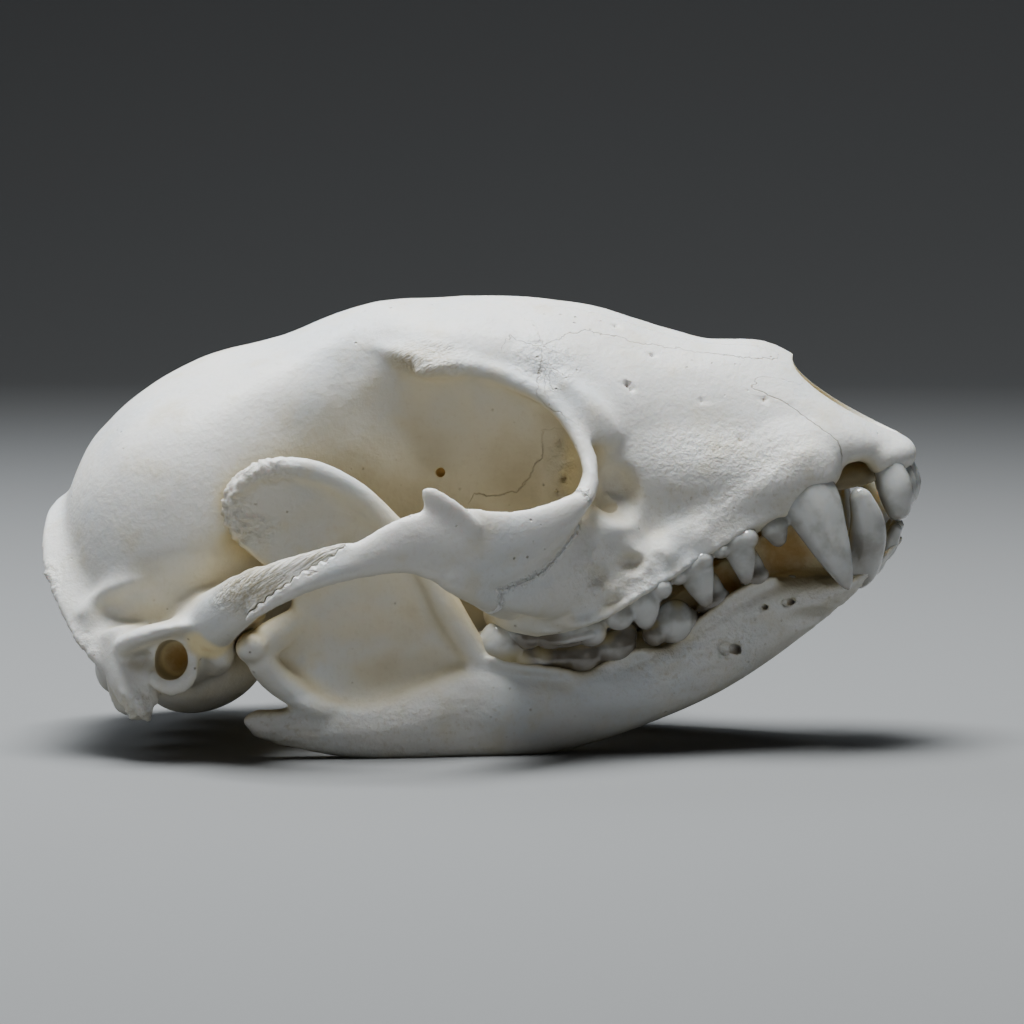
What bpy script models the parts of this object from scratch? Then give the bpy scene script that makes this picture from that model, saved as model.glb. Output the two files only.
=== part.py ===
"""Raccoon skull with its lower jaw, life size, resting on the lower edges of the jaw.

The nose points along +X, the animal's left side is +Y, and +Z is up. Sizes are in millimetres
and turned to metres where a mesh is made. Each bone is laid up from closed forms, fused, eased at
its joins, hollowed and then thinned to a faceted solid, and its teeth are joined on last.
"""

import bmesh
import bpy
import numpy as np
from mathutils import Vector

MM = 0.001
GRAIN = 0.6  # edge of the fused mesh's squares
SEAM = 0.45  # gap kept between two bones that meet
CENTRE_SHIFT = np.array([-0.6, 0.0, 0.0])  # puts the middle of the skull's length over the origin

CRANIUM_FACES = 5600
JUGAL_FACES = 400
DENTARY_FACES = 1500

FILL = 0.6  # share of each easing step that hollows take
WEAR = 0.1  # share that ridges take, small so that edges and points stay

CRANIUM_COLOUR = (0.80, 0.77, 0.70)
JUGAL_COLOUR = (0.78, 0.74, 0.66)
DENTARY_COLOUR = (0.82, 0.79, 0.73)
BONE_ROUGHNESS = 0.5

RIGHT, LEFT = -1, 1


# Curves and closed forms


def smooth(points, at):
    """Smooth curve through rows whose first number is the parameter, read at the given places."""
    table = np.asarray(points, float)
    knots, values = table[:, 0], table[:, 1:]
    slopes = np.gradient(values, knots, axis=0)
    at = np.atleast_1d(np.asarray(at, float))
    i = np.clip(np.searchsorted(knots, at) - 1, 0, len(knots) - 2)
    span = (knots[i + 1] - knots[i])[:, None]
    t = np.clip((at - knots[i])[:, None] / span, 0, 1)
    return (
        (1 + 2 * t) * (1 - t) ** 2 * values[i]
        + t * (1 - t) ** 2 * span * slopes[i]
        + t * t * (3 - 2 * t) * values[i + 1]
        + t * t * (t - 1) * span * slopes[i + 1]
    )


def through(points, count):
    """Smooth open curve through points in space, evenly parameterised by distance."""
    points = np.asarray(points, float)
    steps = np.linalg.norm(np.diff(points, axis=0), axis=1)
    reach = np.concatenate([[0], np.cumsum(steps)])
    return smooth(np.column_stack([reach, points]), np.linspace(0, reach[-1], count))


def closed_ring(controls, per_gap):
    """Smooth closed curve through the control points of a section."""
    controls = np.asarray(controls, float)
    before, after = np.roll(controls, 1, axis=0), np.roll(controls, -1, axis=0)
    slopes = (after - before) / 2
    rows = []
    for t in np.arange(per_gap) / per_gap:
        rows.append(
            (1 + 2 * t) * (1 - t) ** 2 * controls
            + t * (1 - t) ** 2 * slopes
            + t * t * (3 - 2 * t) * after
            + t * t * (t - 1) * np.roll(slopes, -1, axis=0)
        )
    return np.stack(rows, axis=1).reshape(-1, controls.shape[1])


def bar(path, sizes, side=LEFT, up=(0, 0, 1), blunt=1.0, count=26, sides=16):
    """Rings of a bar with oval sections.

    sizes holds (half thickness, half height) at each point of the path, and blunt is the length
    over which each end rounds off.
    """
    path = np.asarray(path, float)
    line = through(path, count)
    steps = np.linalg.norm(np.diff(path, axis=0), axis=1)
    reach = np.concatenate([[0], np.cumsum(steps)])
    at = np.linspace(0, reach[-1], count)
    size = smooth(np.column_stack([reach, sizes]), at)
    forward = np.gradient(line, axis=0)
    forward /= np.linalg.norm(forward, axis=1)[:, None]
    across = np.cross(forward, np.asarray(up, float))
    across /= np.linalg.norm(across, axis=1)[:, None]
    upward = np.cross(across, forward)
    near_end = np.clip(np.minimum(at, reach[-1] - at) / blunt, 0.02, 1)
    size = size * np.sqrt(near_end * (2 - near_end))[:, None]
    turn = np.linspace(0, 2 * np.pi, sides, endpoint=False)[None, :, None]
    rings = (
        line[:, None]
        + size[:, None, :1] * np.cos(turn) * across[:, None]
        + size[:, None, 1:] * np.sin(turn) * upward[:, None]
    )
    return rings * (1, side, 1)


def lump(centre, radii, side=LEFT, tilt=0.0):
    """Rings of an ellipsoid. tilt turns it about Y in degrees, nose up."""
    along = np.cos(np.linspace(0.12, np.pi - 0.12, 14))
    turn = np.linspace(0, 2 * np.pi, 20, endpoint=False)
    round_ = np.sqrt(1 - along**2)[:, None]
    ball = np.stack(
        [
            np.repeat(along[:, None], len(turn), 1) * radii[0],
            round_ * np.cos(turn) * radii[1],
            round_ * np.sin(turn) * radii[2],
        ],
        axis=-1,
    )
    angle = np.radians(tilt)
    x, z = ball[..., 0].copy(), ball[..., 2].copy()
    ball[..., 0] = x * np.cos(angle) - z * np.sin(angle)
    ball[..., 2] = x * np.sin(angle) + z * np.cos(angle)
    return (ball + np.asarray(centre, float)) * (1, side, 1)


def blade(edge, root, edge_half, root_half, side=LEFT, count=30):
    """Rings of a tapering ridge that stands from the root line out to the edge line."""
    outer, inner = through(edge, count), through(root, count)
    forward = np.gradient(outer, axis=0)
    across = np.cross(forward, outer - inner)
    across /= np.linalg.norm(across, axis=1)[:, None]
    middle = (outer + inner) / 2
    half = (edge_half + root_half) / 2
    tip = outer + (outer - middle) * 0.12
    ring = [
        inner - across * root_half,
        middle - across * half,
        outer - across * edge_half,
        tip,
        outer + across * edge_half,
        middle + across * half,
        inner + across * root_half,
    ]
    return np.stack(ring, axis=1) * (1, side, 1)


def slab(outline, half_thickness):
    """Rings of a flat plate in the XZ plane, from a closed outline."""
    outline = closed_ring(outline, 6)
    middle = outline.mean(axis=0)
    rings = []
    for share, y in ((0.0, -1), (0.93, -1), (1.0, 0), (0.93, 1), (0.0, 1)):
        flat = middle + (outline - middle) * share
        level = np.full(len(flat), y * half_thickness)
        rings.append(np.column_stack([flat[:, 0], level, flat[:, 1]]))
    return np.array(rings)


ROOT_DEPTH = 3.4  # how far a cheek tooth is sunk in its bone
SQUARENESS = 0.8  # 1 makes a crown oval, and less makes it squarer


def crown(base, size, height, cusps, up=1, side=LEFT, turn=0.0, skew=0.0, slope=0.0):
    """Rings of a cheek tooth that stands on the gum line.

    size is its length and width, slope the rise of the gum line toward the nose, and each cusp is
    (along, across, rise, reach).
    """
    half_length, half_width = size[0] / 2, size[1] / 2
    sides = 10
    angle = np.linspace(0, 2 * np.pi, sides, endpoint=False)
    round_x = np.sign(np.cos(angle)) * np.abs(np.cos(angle)) ** SQUARENESS
    round_y = np.sign(np.sin(angle)) * np.abs(np.sin(angle)) ** SQUARENESS
    levels = [(-ROOT_DEPTH, 0.5), (0.0, 0.88), (0.45 * height, 1.0)]
    levels += [(height, share) for share in (0.9, 0.56, 0.2)]
    rings = []
    for level, share in levels:
        x = round_x * half_length * share
        y = round_y * half_width * share
        rise = np.zeros(sides)
        if level == height:
            for along, across, high, reach in cusps:
                near = ((x - along * half_length) ** 2 + (y - across * half_width) ** 2) / reach**2
                rise += high * np.clip(1 - near, 0, 1) ** 1.5
        settle = 1 - np.clip(level / height, 0, 1)
        z = up * (level + rise) + slope * x * settle
        x = x + skew * y
        cos, sin = np.cos(np.radians(turn)), np.sin(np.radians(turn))
        rings.append(np.column_stack([x * cos - y * sin, x * sin + y * cos, z]) + base)
    return np.array(rings) * (1, side, 1)


# Meshes


def clear_scene():
    for item in list(bpy.data.objects):
        bpy.data.objects.remove(item)


def bone_material(name, colour):
    """Dry, matt bone of one colour."""
    material = bpy.data.materials.new(name)
    material.use_nodes = True
    shader = material.node_tree.nodes["Principled BSDF"]
    shader.inputs["Base Color"].default_value = (*colour, 1)
    shader.inputs["Roughness"].default_value = BONE_ROUGHNESS
    return material


def object_from(name, forms):
    """One mesh object that holds the closed forms, each given as rings, with faces pointing out."""
    mesh = bpy.data.meshes.new(name)
    work = bmesh.new()
    for rings in forms:
        rows = [[work.verts.new(Vector(point) * MM) for point in ring] for ring in rings]
        for near, far in zip(rows, rows[1:]):
            for i in range(len(near)):
                j = (i + 1) % len(near)
                work.faces.new((near[i], near[j], far[j], far[i]))
        for row, ring in ((rows[0], rings[0]), (rows[-1], rings[-1])):
            pole = work.verts.new(Vector(np.mean(ring, axis=0)) * MM)
            for i in range(len(row)):
                work.faces.new((row[i], row[(i + 1) % len(row)], pole))
    bmesh.ops.recalc_face_normals(work, faces=work.faces)
    work.to_mesh(mesh)
    work.free()
    item = bpy.data.objects.new(name, mesh)
    bpy.context.scene.collection.objects.link(item)
    return item


def apply_modifiers(item):
    """The object's mesh becomes what its modifiers make of it."""
    graph = bpy.context.evaluated_depsgraph_get()
    made = bpy.data.meshes.new_from_object(item.evaluated_get(graph))
    item.modifiers.clear()
    item.data = made


def fuse(item, grain):
    """Fuses overlapping closed forms into one skin of small squares."""
    remesh = item.modifiers.new("Fuse", "REMESH")
    remesh.mode = "VOXEL"
    remesh.voxel_size = grain * MM
    apply_modifiers(item)


def points_of(mesh):
    points = np.empty(len(mesh.vertices) * 3)
    mesh.vertices.foreach_get("co", points)
    return points.reshape(-1, 3) / MM


def set_points(mesh, points):
    mesh.vertices.foreach_set("co", (points * MM).ravel())
    mesh.update()


def ease(mesh, rounds):
    """Softens a fused skin, filling its hollows more than it wears its ridges down."""
    points = points_of(mesh)
    ends = np.empty(len(mesh.edges) * 2, int)
    mesh.edges.foreach_get("vertices", ends)
    first, second = ends.reshape(-1, 2).T
    corners = np.empty(len(mesh.loops), int)
    mesh.loops.foreach_get("vertex_index", corners)
    quads = corners.reshape(-1, 4)
    count = len(points)
    links = np.bincount(first, minlength=count) + np.bincount(second, minlength=count)

    def gathered(index, values):
        return np.stack([np.bincount(index, values[:, k], count) for k in range(3)], axis=1)

    for _ in range(rounds):
        mean = (gathered(first, points[second]) + gathered(second, points[first])) / links[:, None]
        one, other = points[quads[:, 2]] - points[quads[:, 0]], points[quads[:, 3]] - points[quads[:, 1]]
        across = np.cross(one, other)
        normal = sum(gathered(quads[:, k], across) for k in range(4))
        normal /= np.linalg.norm(normal, axis=1)[:, None] + 1e-12
        move = mean - points
        outward = np.sum(move * normal, axis=1)
        points += move * np.where(outward > 0, FILL, WEAR)[:, None]
    set_points(mesh, points)


def sculpt(mesh, strokes, sides):
    """Soft dents and swellings. Each stroke is (centre, reach, push), in millimetres."""
    points = points_of(mesh)
    for centre, reach, push in strokes:
        for side in sides:
            away = (points - np.multiply(centre, (1, side, 1))) / reach
            weight = np.clip(1 - np.sum(away**2, axis=1), 0, 1) ** 2
            points += weight[:, None] * np.multiply(push, (1, side, 1))
    set_points(mesh, points)


def cut(item, cutter):
    """Takes the cutter's room out of the bone. Both are closed skins."""
    boolean = item.modifiers.new("Cut", "BOOLEAN")
    boolean.operation = "DIFFERENCE"
    boolean.solver = "MANIFOLD"
    boolean.object = cutter
    apply_modifiers(item)


def thin_out(item, faces):
    """Fewer, larger triangles that keep the form."""
    triangles = sum(len(face.vertices) - 2 for face in item.data.polygons)
    decimate = item.modifiers.new("Facet", "DECIMATE")
    decimate.ratio = faces / triangles
    decimate.use_collapse_triangulate = True
    apply_modifiers(item)


def join_teeth(item, teeth):
    """One union of the bone with all its teeth, each given as rings."""
    group = bpy.data.collections.new(item.name + "_teeth")
    bpy.context.scene.collection.children.link(group)
    for number, rings in enumerate(teeth):
        tooth = object_from(item.name + "_tooth_" + str(number), [rings])
        bpy.context.scene.collection.objects.unlink(tooth)
        group.objects.link(tooth)
    boolean = item.modifiers.new("Teeth", "BOOLEAN")
    boolean.operation = "UNION"
    boolean.solver = "MANIFOLD"
    boolean.operand_type = "COLLECTION"
    boolean.collection = group
    apply_modifiers(item)
    for tooth in list(group.objects):
        bpy.data.objects.remove(tooth)
    bpy.data.collections.remove(group)


def keep_largest(item):
    """Drops every closed surface but the one with the most faces."""
    work = bmesh.new()
    work.from_mesh(item.data)
    left = set(work.verts)
    islands = []
    while left:
        front = [left.pop()]
        island = set(front)
        while front:
            for edge in front.pop().link_edges:
                for vert in edge.verts:
                    if vert not in island:
                        island.add(vert)
                        front.append(vert)
        left -= island
        islands.append(island)
    islands.sort(key=len, reverse=True)
    bmesh.ops.delete(work, geom=[v for island in islands[1:] for v in island], context="VERTS")
    work.to_mesh(item.data)
    work.free()


def room_for(item):
    """A copy that stands out from the fused bone all round, used to keep its neighbour clear of it."""
    room = bpy.data.objects.new(item.name + "_room", item.data.copy())
    bpy.context.scene.collection.objects.link(room)
    room.hide_render = True
    room.display_type = "WIRE"
    for vert, normal in zip(room.data.vertices, [v.normal.copy() for v in item.data.vertices]):
        vert.co += normal * SEAM * MM
    return room


def mirrored(item, name):
    """The same bone of the animal's left side."""
    copy = bpy.data.objects.new(name, item.data.copy())
    bpy.context.scene.collection.objects.link(copy)
    set_points(copy.data, points_of(copy.data) * (1, -1, 1))
    copy.data.flip_normals()
    return copy


# Cranium: rails of the main form, each row being x and then the place of the rail there

ROOF = [
    (-54.6, 28.5), (-53.2, 32.3), (-51.4, 37.0), (-48.0, 41.4), (-43.0, 45.6), (-36.6, 49.1),
    (-25.0, 52.4), (-19.5, 54.7), (-14.5, 56.3), (-6.7, 57.0), (7.5, 57.0), (15.2, 55.8),
    (21.7, 53.8), (28.1, 52.0), (38.0, 51.0), (45.0, 46.2), (52.0, 40.8), (55.0, 39.0),
]
TEMPLE = [
    (-54.6, 4.0, 27.0), (-52.5, 9.5, 31.5), (-50.0, 13.5, 34.0), (-45.0, 17.2, 38.5),
    (-39.0, 18.8, 41.5), (-33.0, 18.0, 44.0), (-26.0, 14.6, 47.6), (-20.0, 11.6, 50.4),
    (-14.0, 9.4, 52.4), (-8.0, 11.8, 51.8), (-2.0, 12.4, 51.2), (4.0, 11.8, 50.6),
    (10.0, 12.2, 49.4), (16.0, 11.4, 48.2), (24.0, 8.8, 48.2), (32.0, 7.4, 47.8),
    (40.0, 6.8, 46.0), (48.0, 6.4, 42.0), (55.0, 3.6, 38.6),
]
FLANK = [
    (-54.6, 5.5, 25.0), (-52.5, 12.5, 24.5), (-50.0, 17.0, 25.0), (-45.0, 22.2, 26.0),
    (-39.0, 24.6, 28.0), (-33.0, 24.2, 30.0), (-26.0, 20.4, 33.0), (-20.0, 16.0, 36.0),
    (-14.0, 12.2, 38.0), (-8.0, 10.8, 39.0), (-2.0, 10.2, 39.0), (4.0, 10.0, 39.0),
    (10.0, 11.4, 39.0), (16.0, 15.0, 38.5), (24.0, 13.4, 38.5), (32.0, 12.0, 39.0),
    (40.0, 11.4, 39.6), (48.0, 9.6, 39.4), (55.0, 4.8, 37.8),
]
BELLY = [
    (-54.6, 4.0, 22.5), (-52.5, 9.0, 18.5), (-50.0, 13.0, 15.5), (-45.0, 17.5, 12.5),
    (-39.0, 20.0, 14.0), (-33.0, 20.5, 17.5), (-26.0, 16.6, 20.5), (-20.0, 12.0, 22.0),
    (-14.0, 9.0, 23.0), (-8.0, 7.8, 23.0), (-2.0, 7.8, 22.5), (4.0, 8.4, 22.0),
    (10.0, 10.0, 22.0), (16.0, 13.5, 22.5), (24.0, 13.4, 26.0), (32.0, 12.4, 29.6),
    (40.0, 11.6, 33.6), (48.0, 8.8, 36.6), (55.0, 4.4, 36.8),
]
BASE = [
    (-54.6, 22.5), (-52.5, 17.5), (-50.0, 13.5), (-45.0, 8.8), (-39.0, 8.4), (-33.0, 10.6),
    (-26.0, 14.4), (-20.0, 17.6), (-14.0, 19.4), (-8.0, 19.6), (-2.0, 18.8), (4.0, 18.4),
    (10.0, 19.6), (16.0, 22.4), (24.0, 26.4), (32.0, 30.4), (40.0, 34.2), (48.0, 37.0), (55.0, 37.2),
]


def skull_core():
    """The vault, the brow and the snout as one form drawn over the rails."""
    rings = []
    for x in np.concatenate([np.linspace(-54.6, -50, 8)[:-1], np.linspace(-50, 55, 90)]):
        roof, temple, flank, belly, base = (smooth(rail, x)[0] for rail in (ROOF, TEMPLE, FLANK, BELLY, BASE))
        half = [temple, flank, belly]
        other_half = [(-y, z) for y, z in reversed(half)]
        section = [(0, roof[0]), *half, (0, base[0]), *other_half]
        ring = closed_ring(section, 8)
        rings.append(np.column_stack([np.full(len(ring), x), ring]))
    return np.array(rings)


def jaw_edge(side):
    """The tooth-bearing edge of the upper jaw, from behind the last molar to the canine."""
    path = [
        (1.0, 14.8, 17.6), (5.8, 15.2, 18.0), (12.0, 15.4, 19.0), (20.0, 14.8, 22.8),
        (27.0, 13.4, 26.8), (34.0, 12.0, 30.6), (41.0, 10.8, 34.8), (46.0, 9.0, 37.6),
    ]
    sizes = [
        (3.2, 3.2), (4.0, 3.5), (4.5, 3.5), (4.2, 3.6),
        (2.9, 3.4), (2.4, 3.4), (3.1, 3.9), (2.2, 2.6),
    ]
    return bar(path, sizes, side, blunt=2.5, count=40)


def cheek_root(side):
    """The part of the upper jaw that reaches out below the eye to carry the cheek bone."""
    path = [(21.0, 12.6, 27.0), (15.0, 17.0, 24.8), (10.0, 22.0, 23.4), (6.0, 26.6, 22.4), (3.2, 29.2, 21.4)]
    sizes = [(3.4, 6.6), (3.4, 7.6), (2.8, 6.0), (2.0, 4.0), (1.2, 2.2)]
    return [bar(path, sizes, side, blunt=2.0), lump((9.6, 18.0, 20.2), (8.0, 4.2, 5.2), side, tilt=14)]


def brow_and_eye_rim(side):
    """The edge of the brow, its blunt point behind the eye, and the front rim of the socket."""
    path = [
        (-20.0, 7.6, 50.6), (-12.8, 9.8, 50.8), (-8.0, 12.5, 49.7), (-4.8, 14.0, 48.6), (-1.0, 12.9, 48.6),
        (4.6, 12.8, 47.0), (9.8, 14.3, 44.2), (13.2, 16.6, 40.0), (14.7, 19.0, 36.2), (14.0, 21.8, 32.9),
        (11.0, 25.0, 30.8),
    ]
    sizes = [
        (0.8, 0.9), (1.0, 1.1), (1.3, 1.3), (1.4, 1.4), (1.3, 1.3), (1.3, 1.3),
        (1.2, 1.2), (1.2, 1.3), (1.3, 1.4), (1.4, 1.5), (1.1, 1.5),
    ]
    rim = bar(path, sizes, side, up=(0, -0.7, 0.7), blunt=3.0, count=60)
    return [rim, lump((-5.4, 14.0, 48.3), (2.6, 1.8, 1.2), side, tilt=12)]


def arch_root(side):
    """The arm of the ear region that runs forward to meet the cheek bone."""
    path = [
        (-34.5, 19.0, 16.6), (-32.6, 24.6, 17.0), (-30.4, 29.4, 18.8), (-26.6, 33.4, 21.6),
        (-21.6, 35.6, 24.6), (-17.0, 36.4, 26.8), (-13.4, 36.5, 28.3),
    ]
    sizes = [(4.6, 4.4), (4.0, 4.0), (2.6, 3.6), (1.9, 3.0), (1.5, 1.8), (1.1, 1.0), (0.6, 0.5)]
    return bar(path, sizes, side, blunt=1.6, count=34)


def socket_of_jaw(side):
    """The shelf that roofs the jaw joint and the lip behind it."""
    shelf = bar([(-29.2, 17.6, 18.2), (-29.8, 24.0, 18.8), (-29.8, 30.2, 19.4)],
                [(3.6, 2.8), (3.8, 3.0), (3.0, 2.4)], side, blunt=2.5)
    lip = bar([(-32.8, 16.5, 13.2), (-32.2, 21.8, 13.6), (-31.2, 27.6, 14.8)],
              [(2.4, 3.2), (2.4, 3.4), (1.8, 3.0)], side, blunt=2.0)
    return [shelf, lip, lump((-34.6, 23.4, 15.2), (4.4, 4.8, 4.2), side)]


def ear_region(side):
    """The swollen ear capsule, the bony ear tube, and the two knobs behind them."""
    capsule = lump((-34.6, 12.2, 10.8), (8.4, 6.2, 6.0), side, tilt=24)
    tube = bar([(-35.4, 14.0, 12.0), (-36.4, 20.0, 12.3), (-37.0, 27.4, 12.4)],
               [(3.9, 3.7), (3.5, 3.5), (3.2, 3.3)], side, blunt=0.6)
    mastoid = bar([(-42.8, 21.4, 16.0), (-42.2, 24.2, 10.6), (-40.7, 26.0, 5.2)],
                  [(4.0, 4.6), (2.7, 3.4), (1.5, 1.6)], side, up=(1, 0, 0), blunt=1.4)
    behind = bar([(-43.5, 15.5, 12.5), (-44.0, 17.6, 8.6), (-43.6, 19.0, 4.8)],
                 [(2.6, 3.4), (1.7, 2.6), (1.0, 1.4)], side, up=(1, 0, 0), blunt=1.4)
    ledge = bar([(-33.0, 25.4, 18.6), (-37.5, 25.6, 16.4), (-42.5, 25.0, 14.2), (-46.5, 23.6, 12.4)],
                [(2.0, 1.4), (2.2, 1.5), (2.2, 1.6), (1.6, 1.4)], side, blunt=2.0)
    return [capsule, tube, mastoid, behind, ledge]


def neck_joint(side):
    """The rounded knob that sat on the first neck bone."""
    return lump((-45.4, 7.4, 10.6), (3.8, 4.4, 4.8), side, tilt=-30)


def snout_end():
    """The thick rounded edge of the snout that holds the front teeth."""
    path = [(49.6, -7.4, 36.6), (52.8, -5.0, 36.8), (54.0, 0.0, 37.2), (52.8, 5.0, 36.8), (49.6, 7.4, 36.6)]
    return bar(path, [(1.8, 2.0), (2.1, 2.2), (2.0, 2.0), (2.1, 2.2), (1.8, 2.0)], blunt=2.0)


def nape_crest():
    """The thin crest that runs over the back of the skull from ear to ear."""
    half_edge = [
        (-54.9, 0.0, 30.4), (-55.5, 8.0, 28.6), (-55.0, 13.8, 24.4),
        (-52.2, 19.2, 18.6), (-47.8, 23.6, 12.8), (-43.4, 25.6, 9.6),
    ]
    half_root = [
        (-51.0, 0.0, 31.0), (-50.8, 7.4, 29.4), (-49.6, 12.6, 25.8),
        (-46.8, 17.0, 20.6), (-43.4, 20.4, 15.6), (-40.4, 22.0, 12.6),
    ]
    edge = [(x, -y, z) for x, y, z in reversed(half_edge[1:])] + half_edge
    root = [(x, -y, z) for x, y, z in reversed(half_root[1:])] + half_root
    return blade(edge, root, edge_half=0.6, root_half=2.2, count=60)


def rear_palate(side):
    """The side wall of the passage behind the palate, ending in a small hook."""
    wall = blade(
        [(7.0, 7.6, 18.4), (0.0, 7.2, 14.8), (-8.0, 6.6, 11.6), (-15.0, 6.3, 9.4), (-21.0, 6.8, 7.4)],
        [(7.0, 7.6, 24.0), (0.0, 7.2, 24.0), (-8.0, 7.2, 22.0), (-15.0, 8.0, 20.0), (-19.0, 9.0, 18.0)],
        edge_half=0.9, root_half=1.6, side=side)
    hook = bar([(-18.5, 6.6, 9.4), (-21.6, 7.0, 7.6), (-24.4, 8.0, 6.8)],
               [(0.9, 1.4), (0.8, 0.9), (0.5, 0.5)], side, blunt=0.8)
    return [wall, hook]


def palate_shelf():
    """The long bony shelf of the palate, which runs on well behind the last molars."""
    path = [
        (20.0, 0.0, 24.4), (13.0, 0.0, 20.8), (6.5, 0.0, 17.8),
        (0.0, 0.0, 15.4), (-7.0, 0.0, 12.8), (-12.0, 0.0, 11.2),
    ]
    sizes = [(13.0, 1.6), (12.4, 1.5), (9.0, 1.4), (7.9, 1.3), (7.2, 1.1), (6.4, 0.9)]
    return bar(path, sizes, blunt=1.0)


# Hollows of the cranium


def nose_passage():
    path = [
        (62.0, 0.0, 53.4), (53.0, 0.0, 46.8), (45.0, 0.0, 43.4),
        (38.0, 0.0, 42.6), (31.0, 0.0, 41.4), (25.0, 0.0, 39.6),
    ]
    sizes = [(6.4, 9.0), (5.4, 6.8), (5.8, 6.4), (5.9, 7.2), (5.2, 6.2), (3.4, 4.0)]
    return bar(path, sizes, blunt=3.0, sides=28)


def spinal_opening():
    """The large opening at the back and the room that it shows behind it."""
    neck = bar([(-60.0, 0.0, 12.6), (-49.4, 0.0, 16.2), (-42.0, 0.0, 19.5)],
               [(7.2, 6.0), (6.8, 5.3), (7.0, 5.6)], blunt=0.5, sides=28)
    return [neck, lump((-39.0, 0.0, 20.6), (8.0, 8.0, 6.4), tilt=16)]


def ear_hole(side):
    return bar([(-37.2, 30.0, 12.6), (-36.9, 24.0, 12.5), (-36.2, 18.0, 12.3)],
               [(2.3, 2.4), (2.3, 2.4), (1.9, 2.0)], side, blunt=0.8)


def cheek_hole(side):
    """The large opening in the cheek that led nerves from the eye socket to the snout."""
    path = [(25.0, 17.4, 34.0), (18.5, 17.4, 33.0), (12.0, 18.4, 31.6), (5.0, 19.4, 30.6)]
    return bar(path, [(2.2, 2.9), (2.4, 3.0), (2.1, 2.6), (2.2, 2.4)], side, blunt=0.6)


def throat_passage():
    path = [(-26.0, 0.0, 9.2), (-15.0, 0.0, 14.0), (-6.0, 0.0, 17.2), (2.0, 0.0, 20.4)]
    return bar(path, [(5.6, 4.6), (5.0, 3.8), (4.6, 2.6), (3.6, 2.0)], blunt=1.5, sides=24)


def joint_room(side):
    """Room for the knuckle of the lower jaw, with a clear gap all round."""
    return bar([(-27.6, 16.6, 14.2), (-27.4, 24.4, 14.4), (-27.0, 32.4, 15.2)],
               [(2.8, 2.9), (2.9, 3.0), (2.6, 2.7)], side, blunt=1.4)


# Upper cheek teeth: gum point, (length, width), height, gum slope, cusps. Single-rooted teeth are
# drawn along a path, the incisors with their half width

UPPER_CHEEK = [
    ((37.3, 12.4, 29.5), (3.2, 2.3), 1.7, 0.55, [(0.1, 0.0, 1.7, 1.7)]),
    ((32.5, 13.3, 26.2), (5.2, 3.2), 1.6, 0.58, [(0.3, 0.25, 3.4, 2.4)]),
    ((27.1, 14.5, 23.3), (5.8, 4.4), 1.5, 0.60, [(0.2, 0.3, 3.2, 2.6)]),
    ((20.6, 15.6, 19.5), (8.2, 7.8), 2.2, 0.58,
     [(0.3, 0.66, 1.4, 2.0), (-0.5, 0.64, 1.3, 1.9), (0.8, 0.6, 0.6, 1.4), (-0.2, -0.5, 0.3, 1.6),
      (0.7, -0.6, -0.9, 2.2)]),
    ((12.2, 15.4, 16.3), (8.4, 9.2), 1.2, 0.20,
     [(-0.5, 0.78, 1.7, 2.1), (0.48, 0.78, 1.7, 2.1), (-0.4, -0.5, 0.2, 1.8), (0.45, -0.5, 0.2, 1.8)]),
    ((5.4, 15.0, 14.9), (5.8, 7.8), 0.9, 0.05, [(-0.4, 0.76, 1.6, 1.7), (0.45, 0.76, 1.8, 1.7)]),
]
UPPER_CANINE = [
    (38.6, 9.6, 37.4), (42.4, 11.5, 31.9), (44.2, 12.3, 27.6), (46.0, 12.9, 23.6), (47.2, 13.0, 20.6),
]
UPPER_CANINE_SIZE = [(2.0, 2.6), (2.6, 3.5), (2.2, 2.8), (1.5, 1.7), (0.4, 0.45)]
UPPER_INCISORS = [
    ([(52.6, 1.4, 38.6), (54.4, 1.5, 36.0), (55.3, 1.5, 33.4), (55.1, 1.5, 30.6)], 1.15),
    ([(51.6, 3.5, 38.6), (53.6, 4.0, 36.0), (54.6, 4.2, 33.2), (54.6, 4.3, 30.2)], 1.25),
    ([(50.2, 5.0, 38.6), (52.2, 6.0, 35.6), (53.2, 6.5, 32.6), (53.6, 6.7, 28.9)], 2.0),
]


def upper_teeth(side):
    for base, size, height, slope, cusps in UPPER_CHEEK:
        wide = size[1] > 5
        yield crown(base, size, height, cusps, -1, side, turn=-5, skew=0.22 if wide else 0, slope=slope)
    yield bar(UPPER_CANINE, UPPER_CANINE_SIZE, side, up=(1, 0, 0.4), blunt=0.8, count=9, sides=8)
    for path, half in UPPER_INCISORS:
        sizes = half * np.array([(0.7, 0.7), (0.85, 0.95), (1.0, 1.1), (0.7, 0.6)])
        yield bar(path, sizes, side, up=(1, 0, 0), blunt=1.0, count=8, sides=7)


# Dents and swellings of the cranium: centre, reach, push

CRANIUM_STROKES = [
    ((-8.0, 12.0, 42.0), (9.0, 8.0, 9.0), (0.0, -1.2, 0.0)),
    ((28.0, 13.5, 38.0), (9.0, 5.0, 7.0), (0.0, -0.8, 0.0)),
    ((41.0, 11.4, 38.5), (7.0, 4.0, 5.0), (0.0, 0.8, 0.3)),
    ((-36.0, 24.0, 22.0), (9.0, 6.0, 5.0), (0.0, -1.0, 0.0)),
]


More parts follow.
